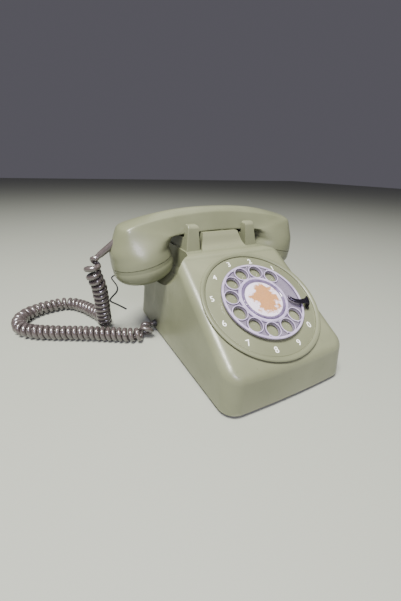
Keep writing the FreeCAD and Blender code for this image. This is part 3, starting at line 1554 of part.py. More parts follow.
def curl_points():
    # Points and directions of the wound wire each quarter turn
    points, tangents, normals, bends, step = curl_frames()
    length = step * (len(points) - 1)
    angles = [0.0]
    for k in range(1, len(points)):
        pitch = curl_pitch_at(step * k, length, bends[k])
        angles.append(angles[-1] + 2 * math.pi * step / pitch)

    def wound(position):
        low = min(int(position), len(points) - 2)
        part = position - low
        centre = points[low] * (1 - part) + points[low + 1] * part
        tangent = tangents[low] * (1 - part) + tangents[low + 1] * part
        normal = normals[low] * (1 - part) + normals[low + 1] * part
        side = tangent.cross(normal)
        angle = angles[low] * (1 - part) + angles[low + 1] * part
        radius = curl_radius(step * position, length)
        return centre + (normal * math.cos(angle) + side * math.sin(angle)) * radius

    lead_in = curl_lead / step
    lead_out = len(points) - 1 - curl_lead / step
    start = points[0] + tangents[0] * curl_lead
    end = points[-1] - tangents[-1] * curl_lead
    found = [(start, Vector(tangents[0]))]
    low = 0
    total = int((angles[-1] - curl_last_angle) / (math.pi / 2))
    margin = curl_lead_margin / step
    for quarter in range(1, total + 1):
        target = quarter * math.pi / 2
        while low < len(angles) - 2 and angles[low + 1] < target:
            low += 1
        position = low + (target - angles[low]) / (angles[low + 1] - angles[low])
        if position < lead_in + margin or position > lead_out - margin:
            continue
        way = wound(position + curl_probe) - wound(position - curl_probe)
        found.append((wound(position), way.normalize()))
    found.append((end, Vector(tangents[-1])))
    return points[0], found, points[-1], angles[-1] / (2 * math.pi), length


def arc_between(start, way, end):
    chord = end - start
    cosine = max(-1.0, min(1.0, way.dot(chord) / chord.Length))
    turn = math.acos(cosine)
    if turn < 1e-5:
        return Part.LineSegment(start, end)
    outward = way - chord * (way.dot(chord) / (chord.Length * chord.Length))
    outward.normalize()
    middle = (start + end) * 0.5 + outward * (chord.Length / 2 * math.tan(turn / 2))
    return Part.Arc(start, middle, end)


def biarc(start, start_way, end, end_way):
    # Two arcs that share a tangent where they meet
    gap = end - start
    ways = start_way + end_way
    slack = 2 * (1 - start_way.dot(end_way))
    reach = gap.dot(ways)
    if slack < 1e-9:
        size = gap.dot(gap) / (4 * gap.dot(end_way))
    else:
        size = (-reach + math.sqrt(reach * reach + slack * gap.dot(gap))) / slack
    first = start + start_way * size
    second = end - end_way * size
    joint = (first + second) * 0.5
    joint_way = (second - first).normalize()
    return [arc_between(start, start_way, joint), arc_between(joint, joint_way, end)]


def sweep_round(edges, radius):
    # One unbroken round tube along a path whose pieces share their tangents
    path = Part.Wire(edges)
    start = edges[0].valueAt(edges[0].FirstParameter)
    way = edges[0].tangentAt(edges[0].FirstParameter)
    ring = Part.Wire([Part.Circle(start, way, radius).toShape()])
    shell = Part.BRepOffsetAPI.MakePipeShell(path)
    shell.add(ring)
    shell.build()
    shell.makeSolid()
    return shell.shape()


def least_gap(points, step, diameter):
    # Least distance between stretches of one tube that aren't neighbours along it
    cell = 2 * diameter
    grid = {}
    for k, p in enumerate(points):
        key = (int(p.x // cell), int(p.y // cell), int(p.z // cell))
        grid.setdefault(key, []).append(k)
    skip = int(2.5 * diameter / step)
    best = 1e9
    for (a, b, c), members in grid.items():
        near = []
        for i in (-1, 0, 1):
            for j in (-1, 0, 1):
                for k in (-1, 0, 1):
                    near += grid.get((a + i, b + j, c + k), [])
        for m in members:
            for n in near:
                if n > m + skip:
                    best = min(best, points[m].distanceToPoint(points[n]))
    return best - diameter


def build_handset_cord():
    first, found, last, turns, length = curl_points()
    curves = [Part.LineSegment(first, found[0][0])]
    for (p, p_way), (q, q_way) in zip(found, found[1:]):
        curves += biarc(p, p_way, q, q_way)
    curves.append(Part.LineSegment(found[-1][0], last))
    edges = [c.toShape() for c in curves]
    tightest = min(e.Curve.Radius for e in edges if hasattr(e.Curve, "Radius"))
    wire_length = sum(e.Length for e in edges)
    step = 0.8
    samples = []
    for e in edges:
        samples += e.discretize(Number=max(2, int(e.Length / step) + 1))[:-1]
    lowest = min(p.z for p in samples) - cord_diameter / 2
    gap = least_gap(samples, step, cord_diameter)
    print("handset cord: route", round(length, 1), "wire", round(wire_length, 1), "turns", round(turns, 1))
    print("handset cord: tightest", round(tightest, 2), "gap", round(gap, 2), "low", round(lowest, 2))
    return sweep_round(edges, cord_diameter / 2)


def rounded_route(points, name):
    # Straight runs joined by tangent arcs as large as their runs allow
    places = [Vector(*p) for p in points]
    curves = []
    radii = []
    last = places[0]
    for before, corner, after in zip(places, places[1:], places[2:]):
        way_in = (corner - before).normalize()
        way_out = (after - corner).normalize()
        turn = way_in.getAngle(way_out)
        run = min(corner.distanceToPoint(before), corner.distanceToPoint(after))
        tangent = 0.45 * run
        radii.append(round(tangent / math.tan(turn / 2), 1))
        arc_start = corner - way_in * tangent
        arc_end = corner + way_out * tangent
        bisector = (way_out - way_in).normalize()
        radius = tangent / math.tan(turn / 2)
        middle = corner + bisector * (radius / math.cos(turn / 2) - radius)
        curves.append(Part.LineSegment(last, arc_start))
        curves.append(Part.Arc(arc_start, middle, arc_end))
        last = arc_end
    curves.append(Part.LineSegment(last, places[-1]))
    print(name, "radii", radii)
    return [c.toShape() for c in curves]


def build_line_wire():
    edges = rounded_route(wire_route, "line wire")
    tube = sweep_round(edges, wire_radius)
    length = sum(e.Length for e in edges)
    print("line wire: length", round(length, 1))
    return tube


def build_line_grommet():
    inner_y = rear_y - rear_bow - 3 * wall
    outer_y = wire_route[0][1]
    wall_y = outer_y - gland_wall_gap
    nose_start = Vector(wire_exit_x, wall_y + grommet_flange, wire_exit_z)
    stem = rod(gland_stem_radius, (wire_exit_x, inner_y, wire_exit_z), (wire_exit_x, wall_y, wire_exit_z))
    flange = rod(gland_radius, (wire_exit_x, wall_y, wire_exit_z), nose_start)
    nose = Part.makeCone(gland_radius - nose_step, gland_tip_radius, outer_y - nose_start.y, nose_start, Y_AXIS)
    return stem.fuse([flange, nose]).removeSplitter()


save("cord_relief", build_relief())
save("cord_grommet", build_cord_grommet())
save("line_grommet", build_line_grommet())
save("line_wire", build_line_wire())
save("handset_cord", build_handset_cord())
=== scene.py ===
import bpy
import bmesh
import math
from mathutils import Matrix, Vector


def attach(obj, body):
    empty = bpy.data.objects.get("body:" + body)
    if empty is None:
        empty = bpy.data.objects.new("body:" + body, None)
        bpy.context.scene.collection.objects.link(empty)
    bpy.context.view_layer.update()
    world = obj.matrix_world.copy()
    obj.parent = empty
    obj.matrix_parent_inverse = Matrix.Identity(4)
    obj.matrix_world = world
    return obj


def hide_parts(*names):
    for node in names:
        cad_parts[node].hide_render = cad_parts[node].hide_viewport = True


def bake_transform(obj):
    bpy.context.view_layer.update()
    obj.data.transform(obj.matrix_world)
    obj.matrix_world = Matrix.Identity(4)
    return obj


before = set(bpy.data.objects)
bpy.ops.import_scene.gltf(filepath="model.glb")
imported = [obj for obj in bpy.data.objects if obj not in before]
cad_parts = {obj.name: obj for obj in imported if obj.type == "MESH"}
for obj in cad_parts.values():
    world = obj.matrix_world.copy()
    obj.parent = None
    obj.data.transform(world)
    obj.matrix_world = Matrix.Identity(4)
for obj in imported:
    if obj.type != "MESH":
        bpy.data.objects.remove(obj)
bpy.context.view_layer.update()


# Small helpers
def mm(value):
    return value / 1000


def linearColour(hexText):
    # The sRGB curve turned back to linear light
    values = [int(hexText[k:k + 2], 16) / 255 for k in (1, 3, 5)]
    return [v / 12.92 if v <= 0.04045 else ((v + 0.055) / 1.055) ** 2.4 for v in values] + [1.0]


def deselectAll():
    if bpy.context.object and bpy.context.object.mode != "OBJECT":
        bpy.ops.object.mode_set(mode="OBJECT")
    bpy.ops.object.select_all(action="DESELECT")


def selectOnly(piece):
    deselectAll()
    piece.select_set(True)
    bpy.context.view_layer.objects.active = piece


def addNode(tree, kind, settings={}, inputs={}):
    node = tree.nodes.new(kind)
    for name, value in settings.items():
        setattr(node, name, value)
    for name, value in inputs.items():
        if isinstance(value, bpy.types.NodeSocket):
            tree.links.new(value, node.inputs[name])
        else:
            node.inputs[name].default_value = value
    return node


def startMaterial(name):
    material = bpy.data.materials.new(name)
    material.use_nodes = True
    tree = material.node_tree
    tree.nodes.clear()
    place = addNode(tree, "ShaderNodeTexCoord")
    return material, tree, place.outputs["Object"]


def endMaterial(material, tree, inputs):
    shader = addNode(tree, "ShaderNodeBsdfPrincipled", inputs=inputs)
    addNode(tree, "ShaderNodeOutputMaterial", inputs={"Surface": shader.outputs[0]})
    return material


def addNoise(tree, place, noise):
    # A noise is given by the size of its forms in mm, its detail and its roughness
    sizeMm, detail, roughness = noise
    return addNode(tree, "ShaderNodeTexNoise", inputs={
        "Vector": place, "Scale": 1000 / sizeMm, "Detail": detail, "Roughness": roughness}).outputs["Fac"]


def addRamp(tree, value, span, ends=(0.0, 1.0)):
    return addNode(tree, "ShaderNodeMapRange", inputs={
        "Value": value, "From Min": span[0], "From Max": span[1],
        "To Min": ends[0], "To Max": ends[1]}).outputs[0]


def addMix(tree, share, first, second):
    # Each colour is hex text or comes from another node; 6 and 7 are the node's colour sockets
    first, second = [linearColour(end) if isinstance(end, str) else end for end in (first, second)]
    return addNode(tree, "ShaderNodeMix", {"data_type": "RGBA"}, {0: share, 6: first, 7: second}).outputs[2]


def addBump(tree, height, strength, distance):
    return addNode(tree, "ShaderNodeBump", inputs={
        "Strength": strength, "Distance": distance, "Height": height}).outputs[0]


# The camera stands where the photograph was taken
cameraSet = {
    "place": (-0.14818, -0.21844, 0.16973),
    "turn": 28.08,      # degrees from straight back towards the right
    "down": 26.1,
    "roll": 1.8,
    "lens": 16.16,
    "sensor": 36.0,
    "near": 0.01,
}


def makeCamera(s):
    turn, down, roll = [math.radians(s[key]) for key in ("turn", "down", "roll")]
    ahead = Vector((math.sin(turn) * math.cos(down), math.cos(turn) * math.cos(down), -math.sin(down)))
    right = Vector((math.cos(turn), -math.sin(turn), 0))
    up = right.cross(ahead)
    rolledRight = right * math.cos(roll) + up * math.sin(roll)
    rolledUp = up * math.cos(roll) - right * math.sin(roll)
    data = bpy.data.cameras.new("photoCamera")
    data.lens = s["lens"]
    data.sensor_width = s["sensor"]
    data.clip_start = s["near"]
    camera = bpy.data.objects.new("photoCamera", data)
    bpy.context.collection.objects.link(camera)
    turned = Matrix((rolledRight, rolledUp, -ahead)).transposed().to_4x4()
    camera.matrix_world = Matrix.Translation(s["place"]) @ turned
    bpy.context.scene.camera = camera
    print("camera placed")


makeCamera(cameraSet)


# Cords: the curly handset cord and the cut line wire
def drawCurve(name, points, resolution):
    curve = bpy.data.curves.new(name, "CURVE")
    curve.dimensions = "3D"
    curve.resolution_u = resolution
    spline = curve.splines.new("NURBS")
    spline.points.add(len(points) - 1)
    for point, place in zip(spline.points, points):
        point.co = (place[0], place[1], place[2], 1.0)
    spline.order_u = 3
    spline.use_endpoint_u = True
    return curve


def meshCurve(name, curve):
    # The curve's mesh; the curve itself goes again
    guide = bpy.data.objects.new(name, curve)
    bpy.context.collection.objects.link(guide)
    mesh = bpy.data.meshes.new_from_object(guide)
    bpy.data.objects.remove(guide)
    bpy.data.curves.remove(curve)
    return mesh


def readRoute(name, points, resolution):
    mesh = meshCurve(name, drawCurve(name, points, resolution))
    line = [vertex.co.copy() for vertex in mesh.vertices]
    bpy.data.meshes.remove(mesh)
    return line


def makeTube(name, points, diameter, sides, resolution):
    # A smooth round tube on a spline
    curve = drawCurve(name, points, resolution)
    curve.bevel_depth = diameter / 2
    curve.bevel_resolution = sides
    curve.use_fill_caps = True
    mesh = meshCurve(name, curve)
    tube = bpy.data.objects.new(name, mesh)
    bpy.context.collection.objects.link(tube)
    for face in mesh.polygons:
        face.use_smooth = True
    return tube


def evenLine(line, step):
    # The same line with points at even steps along it
    lengths = [0.0]
    for before, after in zip(line, line[1:]):
        lengths.append(lengths[-1] + (after - before).length)
    count = int(lengths[-1] / step) + 1
    even = []
    low = 0
    for k in range(count):
        along = lengths[-1] * k / (count - 1)
        while low < len(lengths) - 2 and lengths[low + 1] < along:
            low += 1
        share = (along - lengths[low]) / (lengths[low + 1] - lengths[low])
        even.append(line[low].lerp(line[low + 1], share))
    return even, lengths[-1]


def smoothStep(share):
    return share * share * (3 - 2 * share)


handsetCordSet = {
    "route": [
        (-0.11808, 0.0405, 0.09444), (-0.124, 0.0405, 0.09027), (-0.127, 0.041, 0.080), (-0.122, 0.044, 0.064),
        (-0.121, 0.049, 0.046), (-0.1205, 0.054, 0.028), (-0.1195, 0.062, 0.0105), (-0.1185, 0.082, 0.0082),
        (-0.127, 0.101, 0.0082), (-0.138, 0.122, 0.0082), (-0.153, 0.137, 0.0082), (-0.172, 0.1365, 0.0082),
        (-0.191, 0.131, 0.0082), (-0.206, 0.117, 0.0082), (-0.205, 0.091, 0.0082), (-0.187, 0.0755, 0.0082),
        (-0.162, 0.063, 0.0082), (-0.137, 0.0505, 0.0082), (-0.114, 0.0375, 0.0082), (-0.095, 0.0265, 0.0082),
        (-0.083, 0.025, 0.0086), (-0.0795, 0.038, 0.0105), (-0.072, 0.038, 0.0105),
    ],
    "routeSteps": 40,
    "stepLength": 0.0004,
    "diameter": 0.0052,
    "curlRadius": 0.0053,
    "pitch": 0.0059,
    "loosePitch": 0.011,   # the last turns at each end are pulled open
    "looseFrom": 0.7,      # where they start to close up, as a share of the ramp
    "lead": 0.003,
    "ramp": 0.008,
    "gap": 0.0005,
    "perTurn": 14,
    "bendSpan": 3,         # points on each side between which the route's bend is read
    "mostBend": 0.1,       # per mm
    "tubeSides": 3,
    "tubeSteps": 3,
    "length": 1.99,
    "liftFrom": (-0.120, 0.055, 0.020),
    "liftTo": (-0.11808, 0.0405, 0.09444),
}


def curlLine(s):
    # Points of the wound wire, round a frame that doesn't twist along the route
    line, length = evenLine(readRoute("cordGuide", s["route"], s["routeSteps"]), s["stepLength"])
    last = len(line) - 1
    step = length / last
    ways = [(line[min(k + 1, last)] - line[max(k - 1, 0)]).normalized() for k in range(len(line))]
    side = ways[0].cross(Vector((0, 1, 0))).normalized()
    sides = []
    for way in ways:
        side = (side - way * side.dot(way)).normalized()
        sides.append(side)
    angle = 0.0
    wound = []
    nextAngle = 0.0
    for k, centre in enumerate(line):
        reach = min(k * step, length - k * step) - s["lead"]
        radius = s["curlRadius"] * smoothStep(max(0.0, min(1.0, reach / s["ramp"])))
        looseShare = max(0.0, min(1.0, (reach - s["looseFrom"] * s["ramp"]) / s["ramp"]))
        low, high = max(0, k - s["bendSpan"]), min(last, k + s["bendSpan"])
        bend = min(s["mostBend"], ways[low].angle(ways[high]) / ((high - low) * step * 1000))
        tight = (s["diameter"] + s["gap"]) / (1 - s["curlRadius"] * 1000 * bend)
        pitch = max(s["loosePitch"] + (s["pitch"] - s["loosePitch"]) * looseShare, tight)
        if angle >= nextAngle or k == last:
            other = ways[k].cross(sides[k])
            wound.append(centre + (sides[k] * math.cos(angle) + other * math.sin(angle)) * radius)
            nextAngle += 2 * math.pi / s["perTurn"]
        angle += 2 * math.pi * step / pitch
    if (wound[-1] - wound[-2]).length < s["diameter"] / 4:
        del wound[-2]
    return wound


def makeHandsetCord(s):
    wound = curlLine(s)
    path = readRoute("curlGuide", wound, s["tubeSteps"])
    piece = makeTube("handsetCord", wound, s["diameter"], s["tubeSides"], s["tubeSteps"])
    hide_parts("handset_cord")
    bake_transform(piece)
    print("handset cord wound,", len(wound), "points")
    return piece


lineWireSet = {
    "route": [
        (-0.038, 0.114, 0.009), (-0.038, 0.126, 0.009), (-0.039, 0.144, 0.0024), (-0.042, 0.170, 0.0011),
        (-0.047, 0.200, 0.0011), (-0.056, 0.224, 0.0011), (-0.071, 0.236, 0.0011), (-0.084, 0.226, 0.0011),
        (-0.0825, 0.204, 0.0011), (-0.0815, 0.182, 0.0011), (-0.086, 0.163, 0.0011), (-0.096, 0.149, 0.0011),
        (-0.103, 0.136, 0.0011), (-0.0945, 0.121, 0.0011), (-0.087, 0.103, 0.0011),
    ],
    "diameter": 0.002,
    "tubeSides": 4,
    "tubeSteps": 16,
    "length": 0.272,
}


def makeLineWire(s):
    piece = makeTube("lineWire", s["route"], s["diameter"], s["tubeSides"], s["tubeSteps"])
    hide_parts("line_wire")
    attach(piece, "base")
    readRoute("wireGuide", s["route"], 16)
    print("line wire laid")
    return piece


handsetCord = makeHandsetCord(handsetCordSet)
lineWire = makeLineWire(lineWireSet)


# The dial's middle on the slope, and how many degrees the slope is tilted back
dialSet = {"centre": (0.0, -0.0545, 0.065), "slope": 31.5}


def dialPlace(tree, place):
    # The place seen from the dial's own middle, with Z up from the slope
    own = addNode(tree, "ShaderNodeMapping", {"vector_type": "TEXTURE"}, {
        "Vector": place, "Location": dialSet["centre"],
        "Rotation": (math.radians(dialSet["slope"]), 0.0, 0.0)})
    return addNode(tree, "ShaderNodeSeparateXYZ", inputs={"Vector": own.outputs[0]}).outputs


# Materials
noiseSpan = (0.3, 0.7)  # nearly all values of a noise lie between these

shellSet = {
    "base": "#6C6F57",
    "faded": "#787B62",
    "grime": "#4E4F37",
    "worn": "#8B8C72",
    "patches": (55, 3.0, 0.5),
    "patchSpan": (0.35, 0.7),
    "specks": (3.0, 4.0, 0.6),
    "speckSpan": (0.66, 0.74),
    "mostGrime": 0.6,
    "edgeSpan": (0.53, 0.62),
    "mostWear": 0.5,
    "smears": (12, 5.0, 0.65),
    "rough": (0.30, 0.42),
    "grain": (0.5, 2.0, 0.5),      # drawn coarser than the mould's own spark grain, so that it shows
    "bump": (0.12, 0.00004),
    "ior": 1.5,
    "coat": 0.12,
    "coatRough": 0.16,
}


def makeShellAbs(s):
    # ABS, injection moulded with a fine satin grain: even green, faded in patches, polished by hands
    material, tree, place = startMaterial("mossGreenAbs")
    patches = addRamp(tree, addNoise(tree, place, s["patches"]), s["patchSpan"])
    faded = addMix(tree, patches, s["base"], s["faded"])
    specks = addRamp(tree, addNoise(tree, place, s["specks"]), s["speckSpan"], (0.0, s["mostGrime"]))
    grimy = addMix(tree, specks, faded, s["grime"])
    pointiness = addNode(tree, "ShaderNodeNewGeometry").outputs["Pointiness"]
    edges = addRamp(tree, pointiness, s["edgeSpan"], (0.0, s["mostWear"]))
    worn = addMix(tree, edges, grimy, s["worn"])
    rough = addRamp(tree, addNoise(tree, place, s["smears"]), noiseSpan, s["rough"])
    bump = addBump(tree, addNoise(tree, place, s["grain"]), *s["bump"])
    return endMaterial(material, tree, {
        "Base Color": worn, "Roughness": rough, "IOR": s["ior"], "Normal": bump,
        "Coat Weight": s["coat"], "Coat Roughness": s["coatRough"]})


acrylicSet = {
    "web": ("#81768C", "#A79CB2"),
    # The next two colours are painted light: a dark shade on the lower sides of the raised rims and collars,
    # and a bright highlight on their tops
    "root": "#453A54",
    "edge": ("#7F6E98", "#E6D8F4"),
    # Heights over the dial's face where the painted shade begins and where the painted highlight takes over
    "rootFrom": 0.0047,
    "rootSoft": 0.0001,
    "edgeSpan": (0.0052, 0.0057),
    "solid": (0.50, 0.92),
    "cloud": (7, 4.0, 0.6),
    "scuffs": (2.5, 4.0, 0.7),
    "scuffStretch": (1.0, 0.25, 0.25),
    "scuffSpan": (0.45, 0.7),
    "rough": (0.06, 0.18),
    "bump": (0.3, 0.0003),
    "ior": 1.49,
    "coat": 1.0,
    "coatRough": 0.05,
    "coatIor": 1.7,
}


def makeAcrylic(s):
    # Clear acrylic, moulded and polished: violet with age, the thin web shows the plate; the raised rims and
    # collars carry a painted highlight on their tops and a painted shade on their lower sides
    material, tree, place = startMaterial("agedClearAcrylic")
    height = dialPlace(tree, place)["Z"]
    cloud = addNoise(tree, place, s["cloud"])
    web = addMix(tree, cloud, *s["web"])
    edge = addMix(tree, cloud, *s["edge"])
    # Painted shade on the lower sides of the raised parts and painted highlight on their tops; the same raised
    # mask also makes them less see-through
    raisedShadeAndAlphaMask = addRamp(tree, height, (s["rootFrom"] - s["rootSoft"], s["rootFrom"] + s["rootSoft"]))
    paintedHighlightMask = addRamp(tree, height, s["edgeSpan"])
    tint = addMix(tree, paintedHighlightMask, addMix(tree, raisedShadeAndAlphaMask, web, s["root"]), edge)
    solid = addRamp(tree, raisedShadeAndAlphaMask, (0.0, 1.0), s["solid"])
    stretched = addNode(tree, "ShaderNodeMapping", inputs={"Vector": place, "Scale": s["scuffStretch"]})
    scuffs = addNoise(tree, stretched.outputs[0], s["scuffs"])
    rough = addRamp(tree, scuffs, s["scuffSpan"], s["rough"])
    return endMaterial(material, tree, {
        "Base Color": tint, "Roughness": rough, "IOR": s["ior"], "Alpha": solid,
        "Normal": addBump(tree, cloud, *s["bump"]),
        "Coat Weight": s["coat"], "Coat Roughness": s["coatRough"], "Coat IOR": s["coatIor"]})


cardSet = {
    "centre": (0.0026, -0.0565, 0.0697),
    "spread": 0.0325,     # how far the stain reaches before the noise eats into it
    "wander": 0.036,
    "blots": (12, 5.0, 0.6),
    "maskSpan": (-0.0008, 0.0018),
    "fibres": (1.5, 4.0, 0.5),
    "paper": ("#EADDEE", "#FAF4FC"),
    "rust": ("#A46E00", "#D89400"),
    "rough": 0.75,
    "bump": (0.3, 0.0001),
}


def makeCard(s):
    # Paper card behind the clear retainer, with a rust-coloured stain that has crept in
    material, tree, place = startMaterial("stainedCardPaper")
    centred = addNode(tree, "ShaderNodeVectorMath", {"operation": "SUBTRACT"}, {0: place, 1: s["centre"]})
    away = addNode(tree, "ShaderNodeVectorMath", {"operation": "LENGTH"}, {0: centred.outputs[0]})
    blots = addNoise(tree, place, s["blots"])
    spread = addNode(tree, "ShaderNodeMath", {"operation": "MULTIPLY_ADD"}, {
        0: blots, 1: -s["wander"], 2: s["spread"]})
    inside = addNode(tree, "ShaderNodeMath", {"operation": "SUBTRACT"}, {
        0: spread.outputs[0], 1: away.outputs["Value"]})
    mask = addRamp(tree, inside.outputs[0], s["maskSpan"])
    fibres = addNoise(tree, place, s["fibres"])
    colour = addMix(tree, mask, addMix(tree, fibres, *s["paper"]), addMix(tree, fibres, *s["rust"]))
    return endMaterial(material, tree, {
        "Base Color": colour, "Roughness": s["rough"], "Normal": addBump(tree, fibres, *s["bump"])})


coverFinish = {
    "haze": ("#9C8CA6", "#BFB0C8"),
    "hazeNoise": (5, 4.0, 0.5),
    # The thick rim's dark violet colour is a painted shade
    "ring": ("#3F344C", "#8A7B9E"),
    "ringFrom": 0.0178,
    "ringSoft": 0.0005,
    "solid": (0.10, 0.88),
    "rough": (0.04, 0.14),
    "ior": 1.49,
}


def makeRetainer(s):
    # Clear acrylic cover over the card: plain to see through and glossy, its thick rim given a painted dark
    # violet shade
    material, tree, place = startMaterial("clearAcrylicCover")
    parts = dialPlace(tree, place)
    flat = addNode(tree, "ShaderNodeCombineXYZ", inputs={"X": parts["X"], "Y": parts["Y"]})
    away = addNode(tree, "ShaderNodeVectorMath", {"operation": "LENGTH"}, {0: flat.outputs[0]})
    haze = addNoise(tree, place, s["hazeNoise"])
    rim = addRamp(tree, away.outputs["Value"], (s["ringFrom"], s["ringFrom"] + s["ringSoft"]))
    # Painted dark shade on the thick rim, plain haze inside it
    tint = addMix(tree, rim, addMix(tree, haze, *s["haze"]), addMix(tree, haze, *s["ring"]))
    return endMaterial(material, tree, {
        "Base Color": tint, "Roughness": addRamp(tree, haze, noiseSpan, s["rough"]), "IOR": s["ior"],
        "Alpha": addRamp(tree, rim, (0.0, 1.0), s["solid"])})


metalShared = {"cloud": (7, 4.0, 0.6), "lineDetail": (3.0, 0.5), "bump": (0.1, 0.00005)}


def makeMetal(name, darkHex, lightHex, rough, grainMm, stretch, metallic):
    # Drawn or rolled metal: fine lines along one way and cloudy tarnish
    s = metalShared
    material, tree, place = startMaterial(name)
    turned = addNode(tree, "ShaderNodeMapping", inputs={"Vector": place, "Scale": stretch})
    lines = addNoise(tree, turned.outputs[0], (grainMm, *s["lineDetail"]))
    colour = addMix(tree, addNoise(tree, place, s["cloud"]), darkHex, lightHex)
    return endMaterial(material, tree, {
        "Base Color": colour, "Roughness": addRamp(tree, lines, noiseSpan, rough), "Metallic": metallic,
        "Normal": addBump(tree, lines, *s["bump"])})


mouldedShared = {"cloud": (8, 4.0, 0.6), "grainDetail": (3.0, 0.5), "bumpStrength": 0.3, "ior": 1.52}


def makeMoulded(name, darkHex, lightHex, rough, grainMm, bumpMm):
    # Moulded plastic or rubber: cloudy shade, dusty patches and a fine grain
    s = mouldedShared
    material, tree, place = startMaterial(name)
    cloud = addNoise(tree, place, s["cloud"])
    grain = addNoise(tree, place, (grainMm, *s["grainDetail"]))
    return endMaterial(material, tree, {
        "Base Color": addMix(tree, cloud, darkHex, lightHex),
        "Roughness": addRamp(tree, cloud, noiseSpan, rough),
        "IOR": s["ior"], "Normal": addBump(tree, grain, s["bumpStrength"], mm(bumpMm))})


plungerSet = {
    "haze": (4, 4.0, 0.5),
    "colours": ("#C9CCC4", "#E2E4DE"),
    "rough": (0.08, 0.2),
    "ior": 1.59,
    "clear": 0.8,
}


def makeClearPlunger(s):
    # Clear polystyrene, moulded, with a slight haze
    material, tree, place = startMaterial("clearPolystyrene")
    haze = addNoise(tree, place, s["haze"])
    return endMaterial(material, tree, {
        "Base Color": addMix(tree, haze, *s["colours"]),
        "Roughness": addRamp(tree, haze, noiseSpan, s["rough"]),
        "IOR": s["ior"], "Transmission Weight": s["clear"]})


cordVinylSet = {
    "cloud": (12, 4.0, 0.6),
    "colours": ("#3D3635", "#5C5351"),
    "dust": (1.6, 5.0, 0.7),
    "dustSpan": (0.6, 0.75),
    "mostDust": 0.5,
    "dustColour": "#8A817F",
    "rough": (0.2, 0.32),
    "bump": (0.2, 0.0001),
    "ior": 1.54,
    "coat": 1.0,
    "coatRough": 0.14,
    "coatIor": 1.7,
}


def makeCordVinyl(s):
    # Soft PVC over copper, wound warm: dark taupe with a greasy satin shine and pale scuffs
    material, tree, place = startMaterial("taupeCordPvc")
    cloud = addNoise(tree, place, s["cloud"])
    dust = addNoise(tree, place, s["dust"])
    dustMask = addRamp(tree, dust, s["dustSpan"], (0.0, s["mostDust"]))
    dusty = addMix(tree, dustMask, addMix(tree, cloud, *s["colours"]), s["dustColour"])
    return endMaterial(material, tree, {
        "Base Color": dusty, "Roughness": addRamp(tree, cloud, noiseSpan, s["rough"]), "IOR": s["ior"],
        "Normal": addBump(tree, dust, *s["bump"]),
        "Coat Weight": s["coat"], "Coat Roughness": s["coatRough"], "Coat IOR": s["coatIor"]})


# A metal's row: name, dark and light colour, roughness, grain in mm, stretch of the lines, metallic
# A moulded row: name, dark and light colour, roughness, grain in mm, depth of the grain in mm
finishes = {
    "shellAbs": makeShellAbs(shellSet),
    "acrylic": makeAcrylic(acrylicSet),
    "card": makeCard(cardSet),
    "cover": makeRetainer(coverFinish),
    "stopSteel": makeMetal("blackenedSteel", "#2A2630", "#56505E", (0.2, 0.34), 0.6, (1, 1, 1), 0.9),
    "zincSteel": makeMetal("zincPlatedSteel", "#8E8F88", "#B4B5AE", (0.28, 0.45), 0.5, (0.2, 1, 1), 1.0),
    "brass": makeMetal("cartridgeBrass", "#8F6F35", "#C6A45C", (0.22, 0.4), 0.5, (1, 1, 0.3), 1.0),
    "phenolic": makeMoulded("blackPhenolic", "#181818", "#2B2A29", (0.35, 0.5), 0.4, 0.05),
    "plunger": makeClearPlunger(plungerSet),
    "copperWire": makeMetal("enamelledCopperWire", "#6E3418", "#A45A30", (0.2, 0.35), 0.5, (4, 0.3, 0.3),
                            0.7),
    "rubber": makeMoulded("blackNeoprene", "#161517", "#2A282B", (0.5, 0.7), 0.5, 0.08),
    "wirePvc": makeMoulded("blackWirePvc", "#111114", "#24232A", (0.28, 0.4), 0.6, 0.03),
    "cordVinyl": makeCordVinyl(cordVinylSet),
    "ink": makeMoulded("whiteDialInk", "#F4F4EC", "#FFFFFA", (0.4, 0.5), 0.3, 0.01),
}
print("materials mixed")

nodeFinish = {
    "shellAbs": ["housing", "handset_handle", "receiver_cap", "transmitter_cap"],
    "card": ["wheel_card"],
    "zincSteel": ["base_plate", "dial_frame", "dial_shaft", "dial_bracket", "governor_cup", "spring_drum",
                  "hook_bracket", "hook_lever", "hook_pin", "hook_spring", "ringer_frame", "clapper",
                  "housing_screws", "dial_screws", "gong_screws"],
    "brass": ["main_gear", "pulse_wheel", "governor", "gong_left", "gong_right", "terminal_screws"],
    "phenolic": ["pulse_contacts", "hook_contacts", "network_block", "volume_wheel", "receiver_unit",
                 "transmitter_unit", "transmitter_cup"],
    "plunger": ["plunger_left", "plunger_right"],
    "copperWire": ["ringer_coil"],
    "rubber": ["rubber_feet", "cord_grommet", "line_grommet"],
    "cordVinyl": ["cord_relief"],
}
for finish, names in nodeFinish.items():
    for name in names:
        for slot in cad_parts[name].material_slots:
            slot.material = finishes[finish]
for piece, finish in ((handsetCord, "cordVinyl"), (lineWire, "wirePvc")):
    piece.data.materials.clear()
    piece.data.materials.append(finishes[finish])


# Tools for the pieces that are drawn flat at the origin and then seated on the dial's slope
def seatInDial(piece, s):
    # The piece goes to its seat, and its place into its mesh
    selectOnly(piece)
    piece.matrix_world = Matrix.Translation(s["centre"]) @ Matrix.Rotation(math.radians(s["slope"]), 4, "X")
    bpy.ops.object.transform_apply(location=True, rotation=True, scale=True)


joinWithin = {"profile": 0.000001, "spun": 0.000002}


